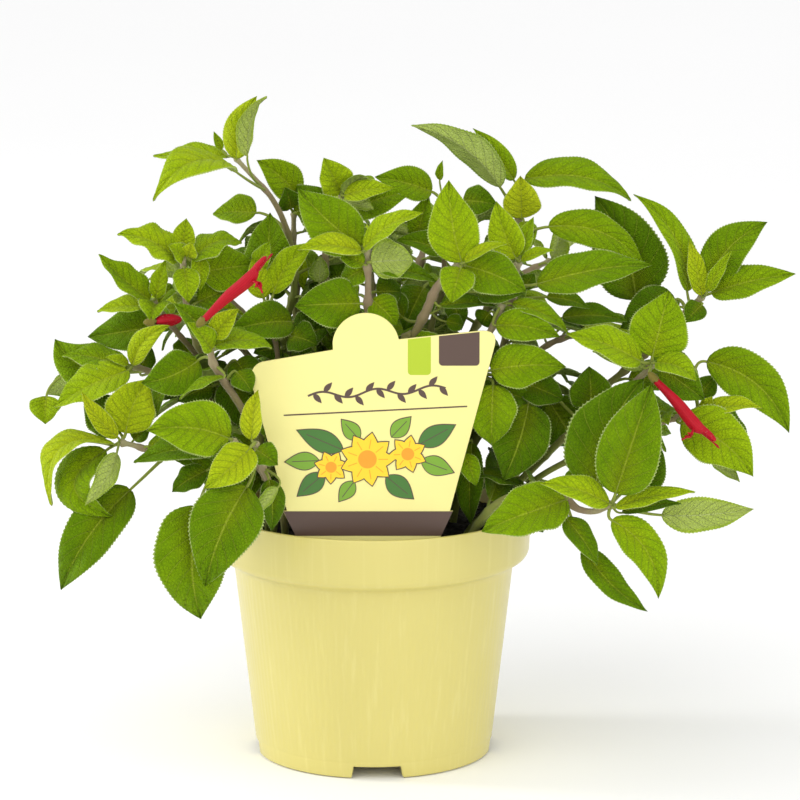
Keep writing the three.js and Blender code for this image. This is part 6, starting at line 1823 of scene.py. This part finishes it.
def make_label():
    """The yellow card with a brown band at its foot, two plain tabs, a twig, and blossoms among leaves"""
    plate = card("label_card", [label_outline()], LABEL_FRONT, LABEL_THICKNESS,
                 card_material("label_yellow", CARD_YELLOW), bevel=0.18)
    settle(plate, "label_plastic", "label")
    start, end, height, turns, width = TWIG["line"]
    sprouts = []
    for k in range(TWIG["leaves"]):
        x = TWIG["first"] + TWIG["step"] * k
        share = (x - start[0]) / (end[0] - start[0])
        z = start[1] + share * (end[1] - start[1]) + height * math.sin(2 * math.pi * turns * share)
        up = 1 if k % 2 else -1
        sprouts.append(leaf_outline((x, z), (x + 3.1, z + 3.6 * up), 2.1))
    twig = wavy(start, end, height, turns, width)
    brown = [CARD_BAND, tab(*CARD_TABS["brown"]), twig, *sprouts, bar(*CARD_RULE)]
    print_layer("print_brown", brown, CARD_BROWN, PRINT_DEPTH["flat"])
    print_layer("print_lime", [tab(*CARD_TABS["lime"])], CARD_LIME, PRINT_DEPTH["flat"])
    both = PRINTED_LEAVES["dark"] + PRINTED_LEAVES["light"]
    print_layer("print_lines", [inked(*leaf) for leaf in both], CARD_BROWN, PRINT_DEPTH["lines"])
    for kind, ink in (("dark", CARD_LEAF_DARK), ("light", CARD_LEAF)):
        leaves = [leaf_outline(*leaf) for leaf in PRINTED_LEAVES[kind]]
        print_layer("print_leaf_" + kind, leaves, ink, PRINT_DEPTH["leaves"])
    ribs = [bar(foot, np.array(foot) * 0.2 + np.array(tip) * 0.8, 0.28) for foot, tip, _ in both]
    print_layer("print_ribs", ribs, CARD_BROWN, PRINT_DEPTH["ribs"])
    rings, petals, strokes, hearts, cores = [], [], [], [], []
    for centre, reach, count, turn in PRINTED_BLOSSOMS:
        rings += petals_round(centre, reach + 0.5, reach * 0.6 + 0.7, count, turn)
        petals += petals_round(centre, reach, reach * 0.6, count, turn)
        rings.append(disc(centre, reach * 0.34 + 0.35))
        hearts.append(disc(centre, reach * 0.34))
        cores.append(disc(centre, reach * 0.16))
        for k in range(count):
            angle = turn + 2 * math.pi * k / count
            way = np.array([math.cos(angle), math.sin(angle)])
            near, far = (np.array(centre) + way * reach * share for share in (0.4, 0.75))
            strokes.append(bar(near, far, 0.3))
    print_layer("print_rings", rings, CARD_BROWN, PRINT_DEPTH["rings"])
    print_layer("print_petals", petals, CARD_SUN, PRINT_DEPTH["petals"])
    print_layer("print_strokes", strokes + hearts, CARD_ORANGE, PRINT_DEPTH["strokes"])
    print_layer("print_cores", cores, CARD_BROWN, PRINT_DEPTH["cores"])


def make_stage():
    """A pale floor, soft light all round and a camera at the eye"""
    mesh = bpy.data.meshes.new("floor")
    size, level = PAPER["half"], PAPER["level"]
    corners = [(x * size, y * size, level) for x, y in ((-1, -1), (1, -1), (1, 1), (-1, 1))]
    mesh.from_pydata(corners, [], [(0, 1, 2, 3)])
    floor = bpy.data.objects.new("floor", mesh)
    bpy.context.scene.collection.objects.link(floor)
    shader = Shader("floor_paper", 0.8)
    floor.data.materials.append(shader.paint(shader.mix(shader.noise(NOISE["floor"]), *PAPER["tones"])))
    world = bpy.data.worlds.new("soft_room")
    world.use_nodes = True
    world.node_tree.nodes["Background"].inputs[0].default_value = (1, 1, 1, 1)
    world.node_tree.nodes["Background"].inputs[1].default_value = LIGHT["room"]
    bpy.context.scene.world = world
    sun = bpy.data.lights.new("daylight", "SUN")
    sun.energy = LIGHT["sun"]
    sun.angle = math.radians(LIGHT["sun_size"])
    lamps = [(sun, LIGHT["sun_from"])]
    for name, place, size, power in LIGHT["panels"]:
        panel = bpy.data.lights.new(name, "AREA")
        panel.energy = power
        panel.shape = "RECTANGLE"
        panel.size, panel.size_y = size
        lamps.append((panel, place))
    for lamp, place in lamps:
        holder = bpy.data.objects.new(lamp.name, lamp)
        holder.location = place
        aim = Vector(LIGHT["aim"]) - Vector(place)
        holder.rotation_euler = aim.to_track_quat("-Z", "Y").to_euler()
        bpy.context.scene.collection.objects.link(holder)
    lens = bpy.data.cameras.new("camera")
    lens.lens = CAMERA_LENS
    lens.sensor_width = CAMERA_SENSOR
    camera = bpy.data.objects.new("camera", lens)
    camera.location = EYE * MM + AXIS
    camera.rotation_euler = (math.radians(CAMERA_PITCH), 0, 0)
    bpy.context.scene.collection.objects.link(camera)
    bpy.context.scene.camera = camera
    bpy.context.scene.view_settings.view_transform = "Standard"


make_stage()
make_pot()
make_soil()
make_label()
make_stems(grown_stems())
make_blooms()
